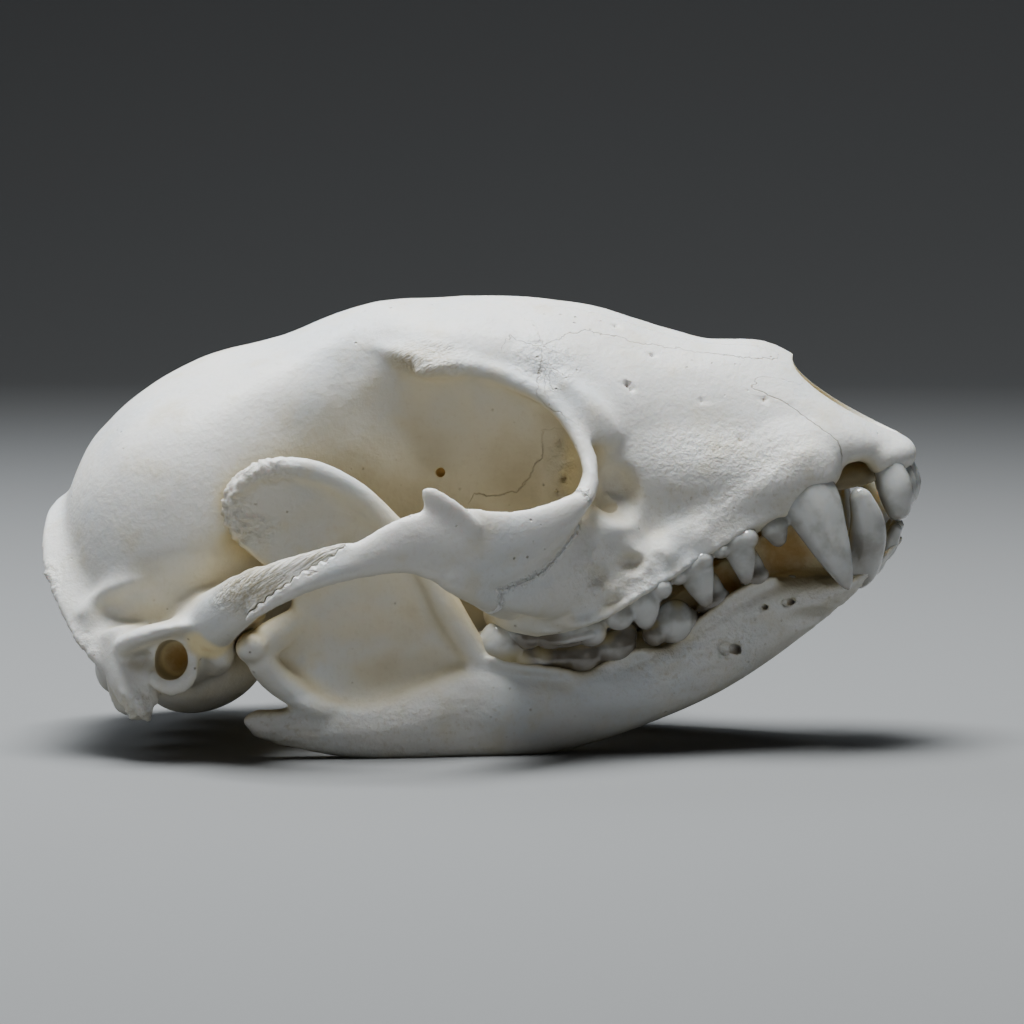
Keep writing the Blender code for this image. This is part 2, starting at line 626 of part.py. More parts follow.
def build_cranium():
    forms = [skull_core(), snout_end(), nape_crest(), palate_shelf()]
    for side in (RIGHT, LEFT):
        forms += [jaw_edge(side), *cheek_root(side), *brow_and_eye_rim(side), arch_root(side)]
        forms += [*socket_of_jaw(side), *ear_region(side), neck_joint(side), *rear_palate(side)]
    cranium = object_from("cranium", forms)
    fuse(cranium, GRAIN)
    ease(cranium.data, rounds=14)
    sculpt(cranium.data, CRANIUM_STROKES, (RIGHT, LEFT))
    hollows = [nose_passage(), *spinal_opening(), throat_passage()]
    for side in (RIGHT, LEFT):
        hollows += [ear_hole(side), cheek_hole(side), joint_room(side)]
    cutter = object_from("cranium_hollows", hollows)
    fuse(cutter, GRAIN)
    cut(cranium, cutter)
    bpy.data.objects.remove(cutter)
    keep_largest(cranium)
    return cranium


# Cheek bone


def build_jugal(name):
    """The cheek bone, with the point that marks the lower rear corner of the eye socket."""
    path = [
        (13.7, 22.0, 32.4), (10.4, 25.4, 29.8), (5.0, 29.4, 27.4), (-1.0, 32.8, 27.4),
        (-6.0, 34.8, 28.0), (-12.0, 36.2, 26.4), (-19.0, 36.8, 23.6), (-27.2, 35.8, 18.4),
    ]
    sizes = [
        (1.3, 1.5), (1.5, 2.9), (1.6, 4.4), (1.6, 5.0),
        (1.5, 3.9), (1.4, 2.4), (1.2, 1.3), (0.4, 0.4),
    ]
    point = bar([(-0.4, 32.6, 28.0), (-2.2, 33.4, 31.0), (-3.8, 34.2, 33.4), (-5.1, 34.6, 35.1)],
                [(0.9, 4.6), (1.1, 3.6), (0.9, 1.8), (0.45, 0.6)], RIGHT, up=(1, 0, 0), blunt=0.8)
    jugal = object_from(name, [bar(path, sizes, RIGHT, blunt=0.9, count=44), point])
    fuse(jugal, GRAIN * 0.7)
    ease(jugal.data, rounds=8)
    room = room_for(jugal)
    thin_out(jugal, JUGAL_FACES)
    return jugal, room


# Lower jaw, each half laid up flat with its own middle plane at y = 0 and then bowed into place

JAW_TOP = [
    (-28.6, 5.1), (-27.6, 5.9), (-25.0, 6.2), (-20.0, 6.8), (-12.0, 8.0), (-4.0, 11.0), (1.0, 12.4), (6.0, 10.8),
    (12.0, 10.4), (17.0, 11.8), (21.0, 12.8), (24.5, 14.2), (28.0, 17.0), (31.4, 19.2), (35.0, 20.8),
    (38.0, 22.0), (42.0, 22.3), (46.0, 22.3), (49.0, 23.0), (52.0, 25.2), (54.2, 27.0),
]
JAW_FLOOR = [
    (-28.6, 4.5), (-27.6, 3.2), (-25.0, 2.0), (-20.0, 0.8), (-12.0, -0.5), (-4.0, -1.0), (3.0, -1.0), (10.0, 0.0),
    (17.0, 1.8), (23.0, 3.9), (28.0, 5.9), (33.0, 8.4), (37.0, 10.8), (41.0, 13.6),
    (45.0, 16.8), (49.0, 20.4), (52.0, 23.6), (54.2, 26.2),
]
JAW_HALF = [
    (-28.6, 0.5), (-27.6, 1.1), (-25.0, 1.5), (-20.0, 1.9), (-12.0, 2.3), (-4.0, 2.7), (3.0, 3.0),
    (10.0, 3.1), (17.0, 3.1), (23.0, 3.0), (28.0, 3.0), (33.0, 3.4), (37.0, 4.5), (41.0, 5.0),
    (45.0, 4.9), (49.0, 4.4), (52.0, 3.5), (54.2, 1.6),
]
JAW_BOW = [
    (-32.0, 23.6), (-25.0, 22.8), (-20.0, 22.2), (-12.0, 20.8), (-4.0, 18.8), (3.0, 16.9), (10.0, 15.2),
    (17.0, 13.9), (23.0, 12.6), (28.0, 11.3), (33.0, 9.4), (37.0, 6.9), (41.0, 4.9),
    (45.0, 4.0), (49.0, 3.8), (52.0, 3.3), (56.0, 2.0),
]
BLADE_OUTLINE = [
    (-27.0, 13.6), (-24.0, 17.2), (-22.6, 20.4), (-25.6, 24.0), (-29.5, 27.6), (-31.2, 31.2), (-30.2, 35.0),
    (-26.4, 37.5), (-20.6, 37.6), (-16.0, 35.2), (-11.6, 31.6), (-8.0, 28.0), (-5.0, 22.0),
    (-2.0, 16.6), (1.0, 11.0), (-3.0, 4.0), (-14.0, 2.6), (-22.0, 4.6), (-22.6, 6.8), (-25.6, 9.6),
]


def jaw_body():
    rings = []
    for x in np.concatenate([np.linspace(-28.6, -26.0, 6)[:-1], np.linspace(-26.0, 54.2, 76)]):
        top, floor, half = (smooth(rail, x)[0, 0] for rail in (JAW_TOP, JAW_FLOOR, JAW_HALF))
        rise = top - floor
        shelf = (0.86 * half, top - 0.16 * rise)
        waist = (half, top - 0.55 * rise)
        keel = (0.62 * half, floor + 0.1 * rise)
        outer = [shelf, waist, keel]
        inner = [(-y, z) for y, z in reversed(outer)]
        ring = closed_ring([(0, top), *outer, (0, floor), *inner], 5)
        rings.append(np.column_stack([np.full(len(ring), x), ring]))
    return np.array(rings)


def jaw_ridges():
    """The thick edges that frame the hollow on the outside of the jaw."""
    path = [
        (3.4, 1.0, 8.0), (-0.8, 0.9, 14.6), (-2.8, 0.8, 18.0), (-5.8, 0.5, 24.0), (-9.6, 0.4, 28.6),
        (-15.0, 0.4, 33.8), (-20.6, 0.4, 36.4), (-26.0, 0.4, 36.2), (-29.6, 0.3, 32.6),
    ]
    sizes = [
        (1.0, 1.4), (1.6, 1.8), (1.8, 1.9), (1.7, 1.7), (1.5, 1.6),
        (1.4, 1.6), (1.3, 1.5), (1.2, 1.3), (0.9, 0.9),
    ]
    front = bar(path, sizes, blunt=2.0, count=44)
    rear = bar([(-26.8, 0.0, 13.4), (-24.6, 0.3, 10.0), (-20.0, 0.4, 7.0), (-12.0, 0.4, 4.6)],
               [(1.9, 1.8), (1.7, 1.6), (1.5, 1.6), (1.0, 1.2)], blunt=1.6)
    neck = bar([(-27.0, 0.0, 14.2), (-24.2, 0.0, 15.8), (-21.0, -0.2, 18.0)],
               [(1.7, 2.0), (1.4, 2.2), (0.9, 1.6)], blunt=1.6)
    return [front, rear, neck]


def knuckle():
    """The cross-wise roller of the jaw joint, longer towards the middle."""
    return bar([(-27.2, -5.6, 13.8), (-27.2, 0.0, 14.0), (-26.9, 6.6, 14.8)],
               [(1.9, 1.8), (2.2, 2.1), (1.8, 1.7)], blunt=1.6)


def bowed(points):
    """Places a half jaw that was laid up flat: it leaves the chin and spreads towards the joint."""
    lean = 0.10 * np.clip(points[:, 2] - 14.0, 0, None)
    centre = smooth(JAW_BOW, points[:, 0])[:, 0] + lean
    placed = points.copy()
    placed[:, 1] = RIGHT * (centre + points[:, 1])
    return placed


# Lower teeth, in the same form as the upper ones

LOWER_CHEEK = [
    ((6.9, 14.4, 10.8), (7.0, 4.8), 1.7, -0.1, [(-0.4, 0.3, 0.7, 1.6), (0.4, 0.3, 0.7, 1.6)]),
    ((15.7, 14.3, 11.0), (9.4, 5.6), 2.3, 0.15,
     [(-0.55, 0.4, 0.8, 1.8), (0.2, 0.4, 0.9, 1.8), (0.7, 0.0, 0.9, 1.8), (-0.5, -0.5, 0.7, 1.6)]),
    ((24.8, 13.1, 14.6), (5.8, 4.6), 2.3, 0.55, [(0.3, 0.0, 2.4, 2.1)]),
    ((29.9, 11.6, 18.0), (4.6, 3.2), 1.7, 0.50, [(0.1, 0.0, 2.1, 1.9)]),
    ((35.0, 10.7, 20.8), (3.8, 2.6), 1.5, 0.35, [(0.1, 0.0, 2.1, 1.7)]),
    ((40.2, 8.9, 22.0), (2.3, 1.8), 0.8, 0.05, [(0.0, 0.0, 0.7, 1.2)]),
]
LOWER_CANINE = [
    (45.4, 6.2, 18.6), (47.8, 7.0, 20.6), (49.4, 8.1, 23.4), (49.7, 9.3, 27.8), (48.2, 10.2, 33.4),
]
LOWER_CANINE_SIZE = [(1.2, 1.4), (1.6, 1.8), (1.9, 2.0), (1.8, 2.1), (0.6, 0.7)]
LOWER_INCISORS = [
    ([(50.4, 1.1, 23.4), (52.4, 1.2, 25.4), (54.0, 1.3, 28.4)], 0.75),
    ([(50.0, 2.7, 23.4), (52.2, 3.0, 25.4), (53.8, 3.1, 28.6)], 0.85),
    ([(49.4, 4.1, 23.2), (51.8, 4.5, 25.4), (53.3, 4.8, 28.3)], 1.0),
]


def lower_teeth(side):
    for base, size, height, slope, cusps in LOWER_CHEEK:
        yield crown(base, size, height, cusps, 1, side, turn=-9, slope=slope)
    yield bar(LOWER_CANINE, LOWER_CANINE_SIZE, side, up=(1, 0, -0.4), blunt=0.8, count=9, sides=8)
    for path, half in LOWER_INCISORS:
        sizes = half * np.array([(0.8, 0.9), (1.0, 1.0), (0.8, 0.4)])
        yield bar(path, sizes, side, up=(1, 0, 0), blunt=0.5, count=6, sides=6)


# The hollows on the outside of the jaw, before it is bowed: centre, reach, push

JAW_STROKES = [
    ((-13.0, 2.0, 14.0), (14.0, 6.0, 11.0), (0.0, -0.9, 0.0)),
    ((-20.0, 1.6, 30.0), (8.0, 6.0, 6.0), (0.0, -0.4, 0.0)),
]


def settle_flats(item):
    """Flat underside for the rest on the ground, and a flat face where the halves meet."""
    points = points_of(item.data)
    points[:, 1] = np.minimum(points[:, 1], -SEAM / 2)
    points[:, 2] = np.maximum(points[:, 2], 0)
    set_points(item.data, points)


def build_dentary(name):
    """The right half of the lower jaw without its teeth, and the room that it needs."""
    plate = slab(BLADE_OUTLINE, half_thickness=0.9) + (0.0, -0.5, 0.0)
    dentary = object_from(name, [jaw_body(), plate, knuckle(), *jaw_ridges()])
    fuse(dentary, GRAIN * 0.8)
    ease(dentary.data, rounds=12)
    sculpt(dentary.data, JAW_STROKES, (LEFT,))
    set_points(dentary.data, bowed(points_of(dentary.data)))
    dentary.data.flip_normals()
    room = room_for(dentary)
    thin_out(dentary, DENTARY_FACES)
    settle_flats(dentary)
    return dentary, room


def main():
    clear_scene()
    cranium = build_cranium()
    jugal, jugal_room = build_jugal("jugal_right")
    dentary, dentary_room = build_dentary("dentary_right")
    for room in (jugal_room, dentary_room):
        for cutter in (room, mirrored(room, room.name + "_left")):
            cut(cranium, cutter)
            bpy.data.objects.remove(cutter)
    fuse(cranium, GRAIN)
    keep_largest(cranium)
    thin_out(cranium, CRANIUM_FACES)
    join_teeth(cranium, [*upper_teeth(RIGHT), *upper_teeth(LEFT)])
    join_teeth(dentary, lower_teeth(RIGHT))
    keep_largest(cranium)
    keep_largest(dentary)
    for item, colour in ((cranium, CRANIUM_COLOUR), (jugal, JUGAL_COLOUR), (dentary, DENTARY_COLOUR)):
        item.data.materials.clear()
        item.data.materials.append(bone_material(item.name.removesuffix("_right") + "_bone", colour))
        item.data.shade_smooth()
    mirrored(jugal, "jugal_left")
    mirrored(dentary, "dentary_left")
    for item in list(bpy.data.objects):
        set_points(item.data, points_of(item.data) + CENTRE_SHIFT)


main()
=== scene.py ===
"""Raccoon skull with its lower jaw, life size: the finish of the bones and teeth, in a plain studio.

The nose points along +X, the animal's left side is +Y, and +Z is up. Sizes are written in
millimetres and turned to metres where a mesh is made.
"""

import math

import bmesh
import bpy
import numpy as np
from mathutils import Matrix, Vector, noise
from mathutils.bvhtree import BVHTree
from mathutils.kdtree import KDTree


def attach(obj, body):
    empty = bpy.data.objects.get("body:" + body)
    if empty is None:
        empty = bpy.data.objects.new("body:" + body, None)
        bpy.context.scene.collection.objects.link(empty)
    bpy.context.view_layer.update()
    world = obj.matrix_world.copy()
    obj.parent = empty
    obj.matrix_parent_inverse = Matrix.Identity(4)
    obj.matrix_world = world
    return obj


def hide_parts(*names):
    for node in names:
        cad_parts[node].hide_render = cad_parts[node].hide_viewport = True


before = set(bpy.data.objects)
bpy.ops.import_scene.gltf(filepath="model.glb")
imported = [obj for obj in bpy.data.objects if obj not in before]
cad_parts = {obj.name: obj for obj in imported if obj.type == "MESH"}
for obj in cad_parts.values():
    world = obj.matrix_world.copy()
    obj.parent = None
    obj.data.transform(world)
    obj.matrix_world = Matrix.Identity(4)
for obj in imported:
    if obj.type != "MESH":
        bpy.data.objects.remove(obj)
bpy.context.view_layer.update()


# Lower jaw. The two halves of the mandible, dry bleached bone, meet at the chin along a flat seam
# and rest on their lower edges. Each half is laid up flat from a body, a thin upright blade and a
# cross-wise joint roller, fused to one skin, eased, and then bowed outwards towards the joint.

MM = 0.001
RIGHT, LEFT = -1, 1
BOTH = (RIGHT, LEFT)
JAW_GRAIN = 0.36
JOINT_GAP = 0.22
CHIN_GAP = 0.1
JAW_REAR, JAW_REAR_ROUND, JAW_FRONT = -28.6, -26.0, 54.2
BLADE_HALF = 0.9
BLADE_INSET = (0.0, -0.5, 0.0)
BLADE_LEAN, LEAN_FROM = 0.10, 14.0

# Rails of the jaw's body, read at x: its top, its lower edge, its half thickness and, once it is
# bowed, its distance from the midline.
JAW_TOP = [
    (-28.6, 5.1), (-27.6, 5.9), (-25.0, 6.2), (-20.0, 6.8), (-12.0, 8.0), (-4.0, 11.0), (1.0, 12.4),
    (6.0, 10.8), (12.0, 10.4), (17.0, 11.8), (21.0, 12.8), (24.5, 14.2), (28.0, 17.0), (31.4, 19.2),
    (35.0, 20.8), (38.0, 22.0), (42.0, 22.3), (46.0, 22.3), (49.0, 23.0), (52.0, 25.2), (54.2, 27.0),
]
JAW_FLOOR = [
    (-28.6, 4.5), (-27.6, 3.2), (-25.0, 2.0), (-20.0, 0.8), (-12.0, -0.5), (-4.0, -1.0), (3.0, -1.0),
    (10.0, 0.0), (17.0, 1.8), (23.0, 3.9), (28.0, 5.9), (33.0, 8.4), (37.0, 10.8), (41.0, 13.6),
    (45.0, 16.8), (49.0, 20.4), (52.0, 23.6), (54.2, 26.2),
]
JAW_HALF = [
    (-28.6, 0.5), (-27.6, 1.1), (-25.0, 1.5), (-20.0, 1.9), (-12.0, 2.3), (-4.0, 2.7), (3.0, 3.0),
    (10.0, 3.1), (17.0, 3.1), (23.0, 3.0), (28.0, 3.0), (33.0, 3.4), (37.0, 4.5), (41.0, 5.0),
    (45.0, 4.9), (49.0, 4.4), (52.0, 3.5), (54.2, 1.6),
]
JAW_BOW = [
    (-32.0, 23.6), (-25.0, 22.8), (-20.0, 22.2), (-12.0, 20.8), (-4.0, 18.8), (3.0, 16.9), (10.0, 15.2),
    (17.0, 13.9), (23.0, 12.6), (28.0, 11.3), (33.0, 9.4), (37.0, 6.9), (41.0, 4.9),
    (45.0, 4.0), (49.0, 3.8), (52.0, 3.3), (56.0, 2.0),
]
BLADE_OUTLINE = [
    (-27.0, 13.6), (-24.0, 17.2), (-22.6, 20.4), (-25.6, 24.0), (-29.5, 27.6), (-31.2, 31.2), (-30.2, 35.0),
    (-26.4, 37.5), (-20.6, 37.6), (-16.0, 35.2), (-11.6, 31.6), (-8.0, 28.0), (-5.0, 22.0),
    (-2.0, 16.6), (1.0, 11.0), (-3.0, 4.0), (-14.0, 2.6), (-22.0, 4.6), (-22.6, 6.8), (-25.6, 9.6),
]
JAW_GUM = [
    (1.6, 13.2), (4.4, 12.0), (7.4, 11.5), (10.9, 11.0), (14.0, 10.4), (16.6, 11.6), (19.2, 12.9),
    (21.6, 13.4), (24.0, 13.2), (26.0, 14.2), (27.8, 16.4), (30.4, 18.4), (32.0, 19.8), (35.6, 21.6),
    (38.4, 22.4),
]

# Dents and swellings as (centre, reach, push), and holes as (centre, radius).
JAW_STROKES = [
    ((-13.0, 2.0, 14.0), (14.0, 6.0, 11.0), (0.0, -2.1, 0.0)),
    ((-19.0, 1.6, 29.0), (9.0, 6.0, 7.0), (0.0, -0.9, 0.0)),
    ((-17.0, 2.4, 6.5), (9.0, 3.0, 2.2), (0.0, 0.5, 0.0)),
    ((18.0, 3.0, 7.0), (9.0, 3.0, 3.0), (0.0, 0.25, 0.0)),
    ((36.0, 4.0, 15.4), (6.0, 3.0, 2.6), (0.0, -0.35, 0.0)),
    ((42.6, 4.6, 16.6), (4.6, 3.0, 1.9), (0.0, -1.4, 0.0)),
    ((41.0, 4.4, 14.2), (4.0, 3.0, 1.3), (0.0, 0.3, 0.0)),
    ((46.4, 4.4, 20.6), (3.4, 3.0, 3.4), (0.0, 0.4, 0.0)),
    ((24.0, 3.2, 12.0), (3.4, 3.0, 2.4), (0.0, 0.4, 0.0)),
    ((14.5, 3.2, 9.4), (4.0, 3.0, 2.0), (0.0, 0.45, 0.0)),
]
JAW_HOLES = [
    ((31.6, 13.6, 13.1), 0.8), ((33.2, 13.0, 13.3), 0.5), ((36.2, 12.4, 18.3), 0.4),
    ((39.3, 11.2, 18.7), 0.45), ((40.2, 11.0, 19.0), 0.4), ((43.4, 10.2, 17.6), 0.4),
    ((27.0, 13.2, 10.4), 0.25), ((20.2, 15.2, 7.6), 0.22),
]
EVEN = (1.0, 1.0, 1.0)

# Rough bone as (centre, reach, height, grain, stretch, slope), and stains that are partly real yellowing and
# partly painted shade, as (centre, reach, strength).
JAW_ROUGH = [
    ((-30.0, 25.0, 31.0), (3.4, 4.0, 5.4), 0.55, 0.7, EVEN, 0),
    ((-26.0, 25.4, 36.4), (6.0, 4.0, 2.6), 0.40, 0.7, EVEN, 0),
    ((-22.0, 23.0, 4.0), (9.0, 5.0, 4.4), 0.20, 1.1, (2.5, 1.0, 1.0), 0),
    ((46.0, 8.0, 19.0), (9.0, 8.0, 7.0), 0.18, 0.9, EVEN, 0),
    ((28.0, 14.0, 13.0), (22.0, 6.0, 8.0), 0.14, 1.6, (2.0, 1.0, 1.0), 0),
    ((-10.0, 21.0, 4.0), (20.0, 5.0, 5.0), 0.10, 2.2, (2.5, 1.0, 1.0), 0),
    ((-27.6, 25.4, 28.8), (4.4, 4.0, 2.6), 0.60, 0.6, EVEN, 0),
]
JAW_STAINS_AND_SHADE = [
    ((-27.4, 27.0, 14.6), (2.6, 5.0, 2.4), 0.3),
    ((38.0, 5.6, 25.0), (9.0, 4.4, 6.0), 1.0),
    ((29.0, 9.4, 20.4), (9.0, 2.8, 5.0), 1.1),
    ((22.0, 12.0, 14.4), (12.0, 3.0, 2.6), 0.7),
    ((8.0, 15.0, 11.6), (7.0, 3.0, 1.8), 0.7),
    ((44.5, 5.0, 24.0), (5.0, 4.0, 3.6), 0.7),
]


def hermite(t, near, far, leave, arrive, span=1.0):
    """Smooth curve from near to far, with a slope for each end, read at the share t of the way."""
    return (
        (1 + 2 * t) * (1 - t) ** 2 * near
        + t * (1 - t) ** 2 * span * leave
        + t * t * (3 - 2 * t) * far
        + t * t * (t - 1) * span * arrive
    )


def smooth(points, at):
    """Smooth curve through rows whose first number is the parameter, read at the given places."""
    table = np.asarray(points, float)
    knots, values = table[:, 0], table[:, 1:]
    slopes = np.gradient(values, knots, axis=0)
    at = np.atleast_1d(np.asarray(at, float))
    i = np.clip(np.searchsorted(knots, at) - 1, 0, len(knots) - 2)
    span = (knots[i + 1] - knots[i])[:, None]
    t = np.clip((at - knots[i])[:, None] / span, 0, 1)
    return hermite(t, values[i], values[i + 1], slopes[i], slopes[i + 1], span)


def reach_along(path):
    """Distance from the start of a path to each of its points."""
    steps = np.linalg.norm(np.diff(path, axis=0), axis=1)
    return np.concatenate([[0], np.cumsum(steps)])


def unit(vectors):
    return vectors / np.linalg.norm(vectors, axis=1)[:, None]


def through(points, count):
    """Smooth open curve through points in space, evenly parameterised by distance."""
    points = np.asarray(points, float)
    reach = reach_along(points)
    return smooth(np.column_stack([reach, points]), np.linspace(0, reach[-1], count))


def closed_ring(controls, per_gap):
    """Smooth closed curve through the control points of a section."""
    controls = np.asarray(controls, float)
    before, after = np.roll(controls, 1, axis=0), np.roll(controls, -1, axis=0)
    slopes = (after - before) / 2
    next_slopes = np.roll(slopes, -1, axis=0)
    rows = [hermite(t, controls, after, slopes, next_slopes) for t in np.arange(per_gap) / per_gap]
    return np.stack(rows, axis=1).reshape(-1, controls.shape[1])


TIP_SHARE = 0.02


def bar(path, sizes, side=LEFT, up=(0, 0, 1), blunt=1.0, count=60, sides=32):
    """Rings of a bar with oval sections.

    sizes holds (half thickness, half height) at each point of the path, up is the way that the
    height leans to, and blunt is the length over which each end rounds off.
    """
    path = np.asarray(path, float)
    line = through(path, count)
    reach = reach_along(path)
    at = np.linspace(0, reach[-1], count)
    size = smooth(np.column_stack([reach, sizes]), at)
    forward = unit(np.gradient(line, axis=0))
    across = unit(np.cross(forward, np.asarray(up, float)))
    upward = np.cross(across, forward)
    near_end = np.clip(np.minimum(at, reach[-1] - at) / blunt, TIP_SHARE, 1)
    size = size * np.sqrt(near_end * (2 - near_end))[:, None]
    turn = np.linspace(0, 2 * np.pi, sides, endpoint=False)[None, :, None]
    rings = (
        line[:, None]
        + size[:, None, :1] * np.cos(turn) * across[:, None]
        + size[:, None, 1:] * np.sin(turn) * upward[:, None]
    )
    return rings * (1, side, 1)


FLAT_SHARE = 0.93


def slab(outline, half_thickness):
    """Rings of a flat plate in the XZ plane, from a closed outline, with its edge bevelled."""
    outline = closed_ring(outline, per_gap=10)
    middle = outline.mean(axis=0)
    rings = []
    for share, y in ((0.0, -1), (FLAT_SHARE, -1), (1.0, 0), (FLAT_SHARE, 1), (0.0, 1)):
        flat = middle + (outline - middle) * share
        level = np.full(len(flat), y * half_thickness)
        rings.append(np.column_stack([flat[:, 0], level, flat[:, 1]]))
    return np.array(rings)


def hoop(x, top, half, bottom, per_gap):
    """One section across a bone, from its top down one side to its bottom, and up the other side."""
    other_half = [(-y, z) for y, z in reversed(half)]
    ring = closed_ring([(0, top), *half, (0, bottom), *other_half], per_gap)
    return np.column_stack([np.full(len(ring), x), ring])


def stations(rear, rear_round, front, close, wide):
    """Places of the sections along a bone, closer together where its rear end rounds off."""
    return np.concatenate([np.linspace(rear, rear_round, close)[:-1], np.linspace(rear_round, front, wide)])


def jaw_body():
    """The body of one half, from the angle of the jaw to the chin, drawn over its rails."""
    rings = []
    for x in stations(JAW_REAR, JAW_REAR_ROUND, JAW_FRONT, close=10, wide=120):
        top, floor, half = (smooth(rail, x)[0, 0] for rail in (JAW_TOP, JAW_FLOOR, JAW_HALF))
        rise = top - floor
        shelf = (0.86 * half, top - 0.16 * rise)
        waist = (half, top - 0.55 * rise)
        keel = (0.62 * half, floor + 0.1 * rise)
        rings.append(hoop(x, top, [shelf, waist, keel], floor, per_gap=8))
    return np.array(rings)


def jaw_ridges():
    """The thick edges that frame the hollow on the outside of the jaw, and the neck of its joint."""
    path = [
        (3.4, 1.0, 8.0), (-0.8, 0.9, 14.6), (-2.8, 0.8, 18.0), (-5.8, 0.5, 24.0), (-9.6, 0.4, 28.6),
        (-15.0, 0.4, 33.8), (-20.6, 0.4, 36.4), (-26.0, 0.4, 36.2), (-29.6, 0.3, 32.6),
    ]
    sizes = [
        (1.0, 1.4), (1.6, 1.8), (1.8, 1.9), (1.7, 1.7), (1.5, 1.6),
        (1.4, 1.6), (1.3, 1.5), (1.2, 1.3), (0.9, 0.9),
    ]
    front = bar(path, sizes, blunt=2.0, count=80)
    rear = bar([(-26.6, 3.4, 13.6), (-24.6, 1.9, 10.6), (-20.0, 0.8, 7.2), (-12.0, 0.4, 4.6)],
               [(1.9, 1.9), (1.9, 1.9), (1.6, 1.7), (1.0, 1.2)], blunt=1.6)
    neck = bar([(-26.6, 3.6, 14.6), (-24.2, 1.8, 15.8), (-21.0, 0.0, 18.0)],
               [(1.8, 2.0), (1.6, 2.2), (0.9, 1.6)], blunt=1.6)
    return [front, rear, neck]


def tongue_side_ridge():
    """The thin inner edge of the jaw, which stands up behind the front cheek teeth and the canine."""
    path = [
        (22.0, -1.9, 14.8), (27.0, -2.0, 18.0), (31.0, -2.0, 20.6), (35.0, -1.8, 23.0), (39.0, -1.4, 24.6),
        (42.5, -0.4, 25.6), (45.6, 0.8, 25.0),
    ]
    sizes = [(0.7, 1.6), (0.8, 2.6), (0.8, 2.8), (0.8, 3.0), (0.8, 3.6), (0.9, 3.8), (0.8, 2.6)]
    return bar(path, sizes, blunt=1.6)


def lower_gum_edge():
    """The thin raised edge of bone that dips round each lower cheek tooth."""
    path = [(x, 0.72 * smooth(JAW_HALF, x)[0, 0], z - 0.5) for x, z in JAW_GUM]
    return bar(path, [(0.5, 0.7)] * len(path), blunt=1.6, count=140)


def jaw_canals():
    """The bores for nerves and vessels that come out on the outside of the jaw, seen as dark slits."""
    slits = [
        ([(31.0, 15.6, 13.5), (32.4, 13.2, 13.1), (34.0, 10.8, 12.6)], 0.62),
        ([(35.4, 14.2, 18.7), (36.6, 11.8, 18.3), (38.0, 9.6, 17.8)], 0.34),
        ([(38.6, 12.6, 19.0), (39.8, 10.6, 18.8), (41.4, 8.6, 18.2)], 0.4),
    ]
    return [bar(path, [(radius, radius)] * len(path), RIGHT, blunt=0.3, sides=20) for path, radius in slits]


def knuckle():
    """The cross-wise roller of the jaw joint, longer towards the middle."""
    return bar([(-27.2, -5.6, 13.8), (-27.2, 0.0, 14.0), (-26.9, 6.6, 14.8)],
               [(1.9, 1.8), (2.2, 2.1), (1.8, 1.7)], blunt=1.6)


def add_object(name, data):
    item = bpy.data.objects.new(name, data)
    bpy.context.scene.collection.objects.link(item)
    return item


def object_from(name, forms):
    """One mesh object that holds the closed forms, each given as rings, with faces pointing out."""
    mesh = bpy.data.meshes.new(name)
    work = bmesh.new()
    for rings in forms:
        rows = [[work.verts.new(Vector(point) * MM) for point in ring] for ring in rings]
        for near, far in zip(rows, rows[1:]):
            for i in range(len(near)):
                j = (i + 1) % len(near)
                work.faces.new((near[i], near[j], far[j], far[i]))
        for row, ring in ((rows[0], rings[0]), (rows[-1], rings[-1])):
            pole = work.verts.new(Vector(np.mean(ring, axis=0)) * MM)
            for i in range(len(row)):
                work.faces.new((row[i], row[(i + 1) % len(row)], pole))
    bmesh.ops.recalc_face_normals(work, faces=work.faces)
    work.to_mesh(mesh)
    work.free()
    return add_object(name, mesh)


def apply_modifiers(item):
    """The object's mesh becomes what its modifiers make of it."""
    graph = bpy.context.evaluated_depsgraph_get()
    made = bpy.data.meshes.new_from_object(item.evaluated_get(graph))
    item.modifiers.clear()
    item.data = made


def fuse(item, grain):
    """Fuses overlapping closed forms into one skin of small squares."""
    remesh = item.modifiers.new("Fuse", "REMESH")
    remesh.mode = "VOXEL"
    remesh.voxel_size = grain * MM
    apply_modifiers(item)


def points_of(mesh):
    points = np.empty(len(mesh.vertices) * 3)
    mesh.vertices.foreach_get("co", points)
    return points.reshape(-1, 3) / MM


def set_points(mesh, points):
    mesh.vertices.foreach_set("co", (points * MM).ravel())
    mesh.update()


def normals_of(mesh):
    normals = np.empty(len(mesh.vertices) * 3)
    mesh.vertices.foreach_get("normal", normals)
    return normals.reshape(-1, 3)


def edges_of(mesh):
    """The two ends of every edge, as two rows of point numbers."""
    ends = np.empty(len(mesh.edges) * 2, int)
    mesh.edges.foreach_get("vertices", ends)
    return ends.reshape(-1, 2).T


FILL, WEAR = 0.6, 0.1


def ease(mesh, rounds):
    """Softens a fused skin, filling its hollows more than it wears its ridges down."""
    points = points_of(mesh)
    first, second = edges_of(mesh)
    corners = np.empty(len(mesh.loops), int)
    mesh.loops.foreach_get("vertex_index", corners)
    quads = corners.reshape(-1, 4)
    count = len(points)
    links = np.bincount(first, minlength=count) + np.bincount(second, minlength=count)

    def gathered(index, values):
        return np.stack([np.bincount(index, values[:, k], count) for k in range(3)], axis=1)

    for _ in range(rounds):
        mean = (gathered(first, points[second]) + gathered(second, points[first])) / links[:, None]
        one = points[quads[:, 2]] - points[quads[:, 0]]
        other = points[quads[:, 3]] - points[quads[:, 1]]
        across = np.cross(one, other)
        normal = sum(gathered(quads[:, k], across) for k in range(4))
        normal /= np.linalg.norm(normal, axis=1)[:, None] + 1e-12
        move = mean - points
        outward = np.sum(move * normal, axis=1)
        points += move * np.where(outward > 0, FILL, WEAR)[:, None]
    set_points(mesh, points)


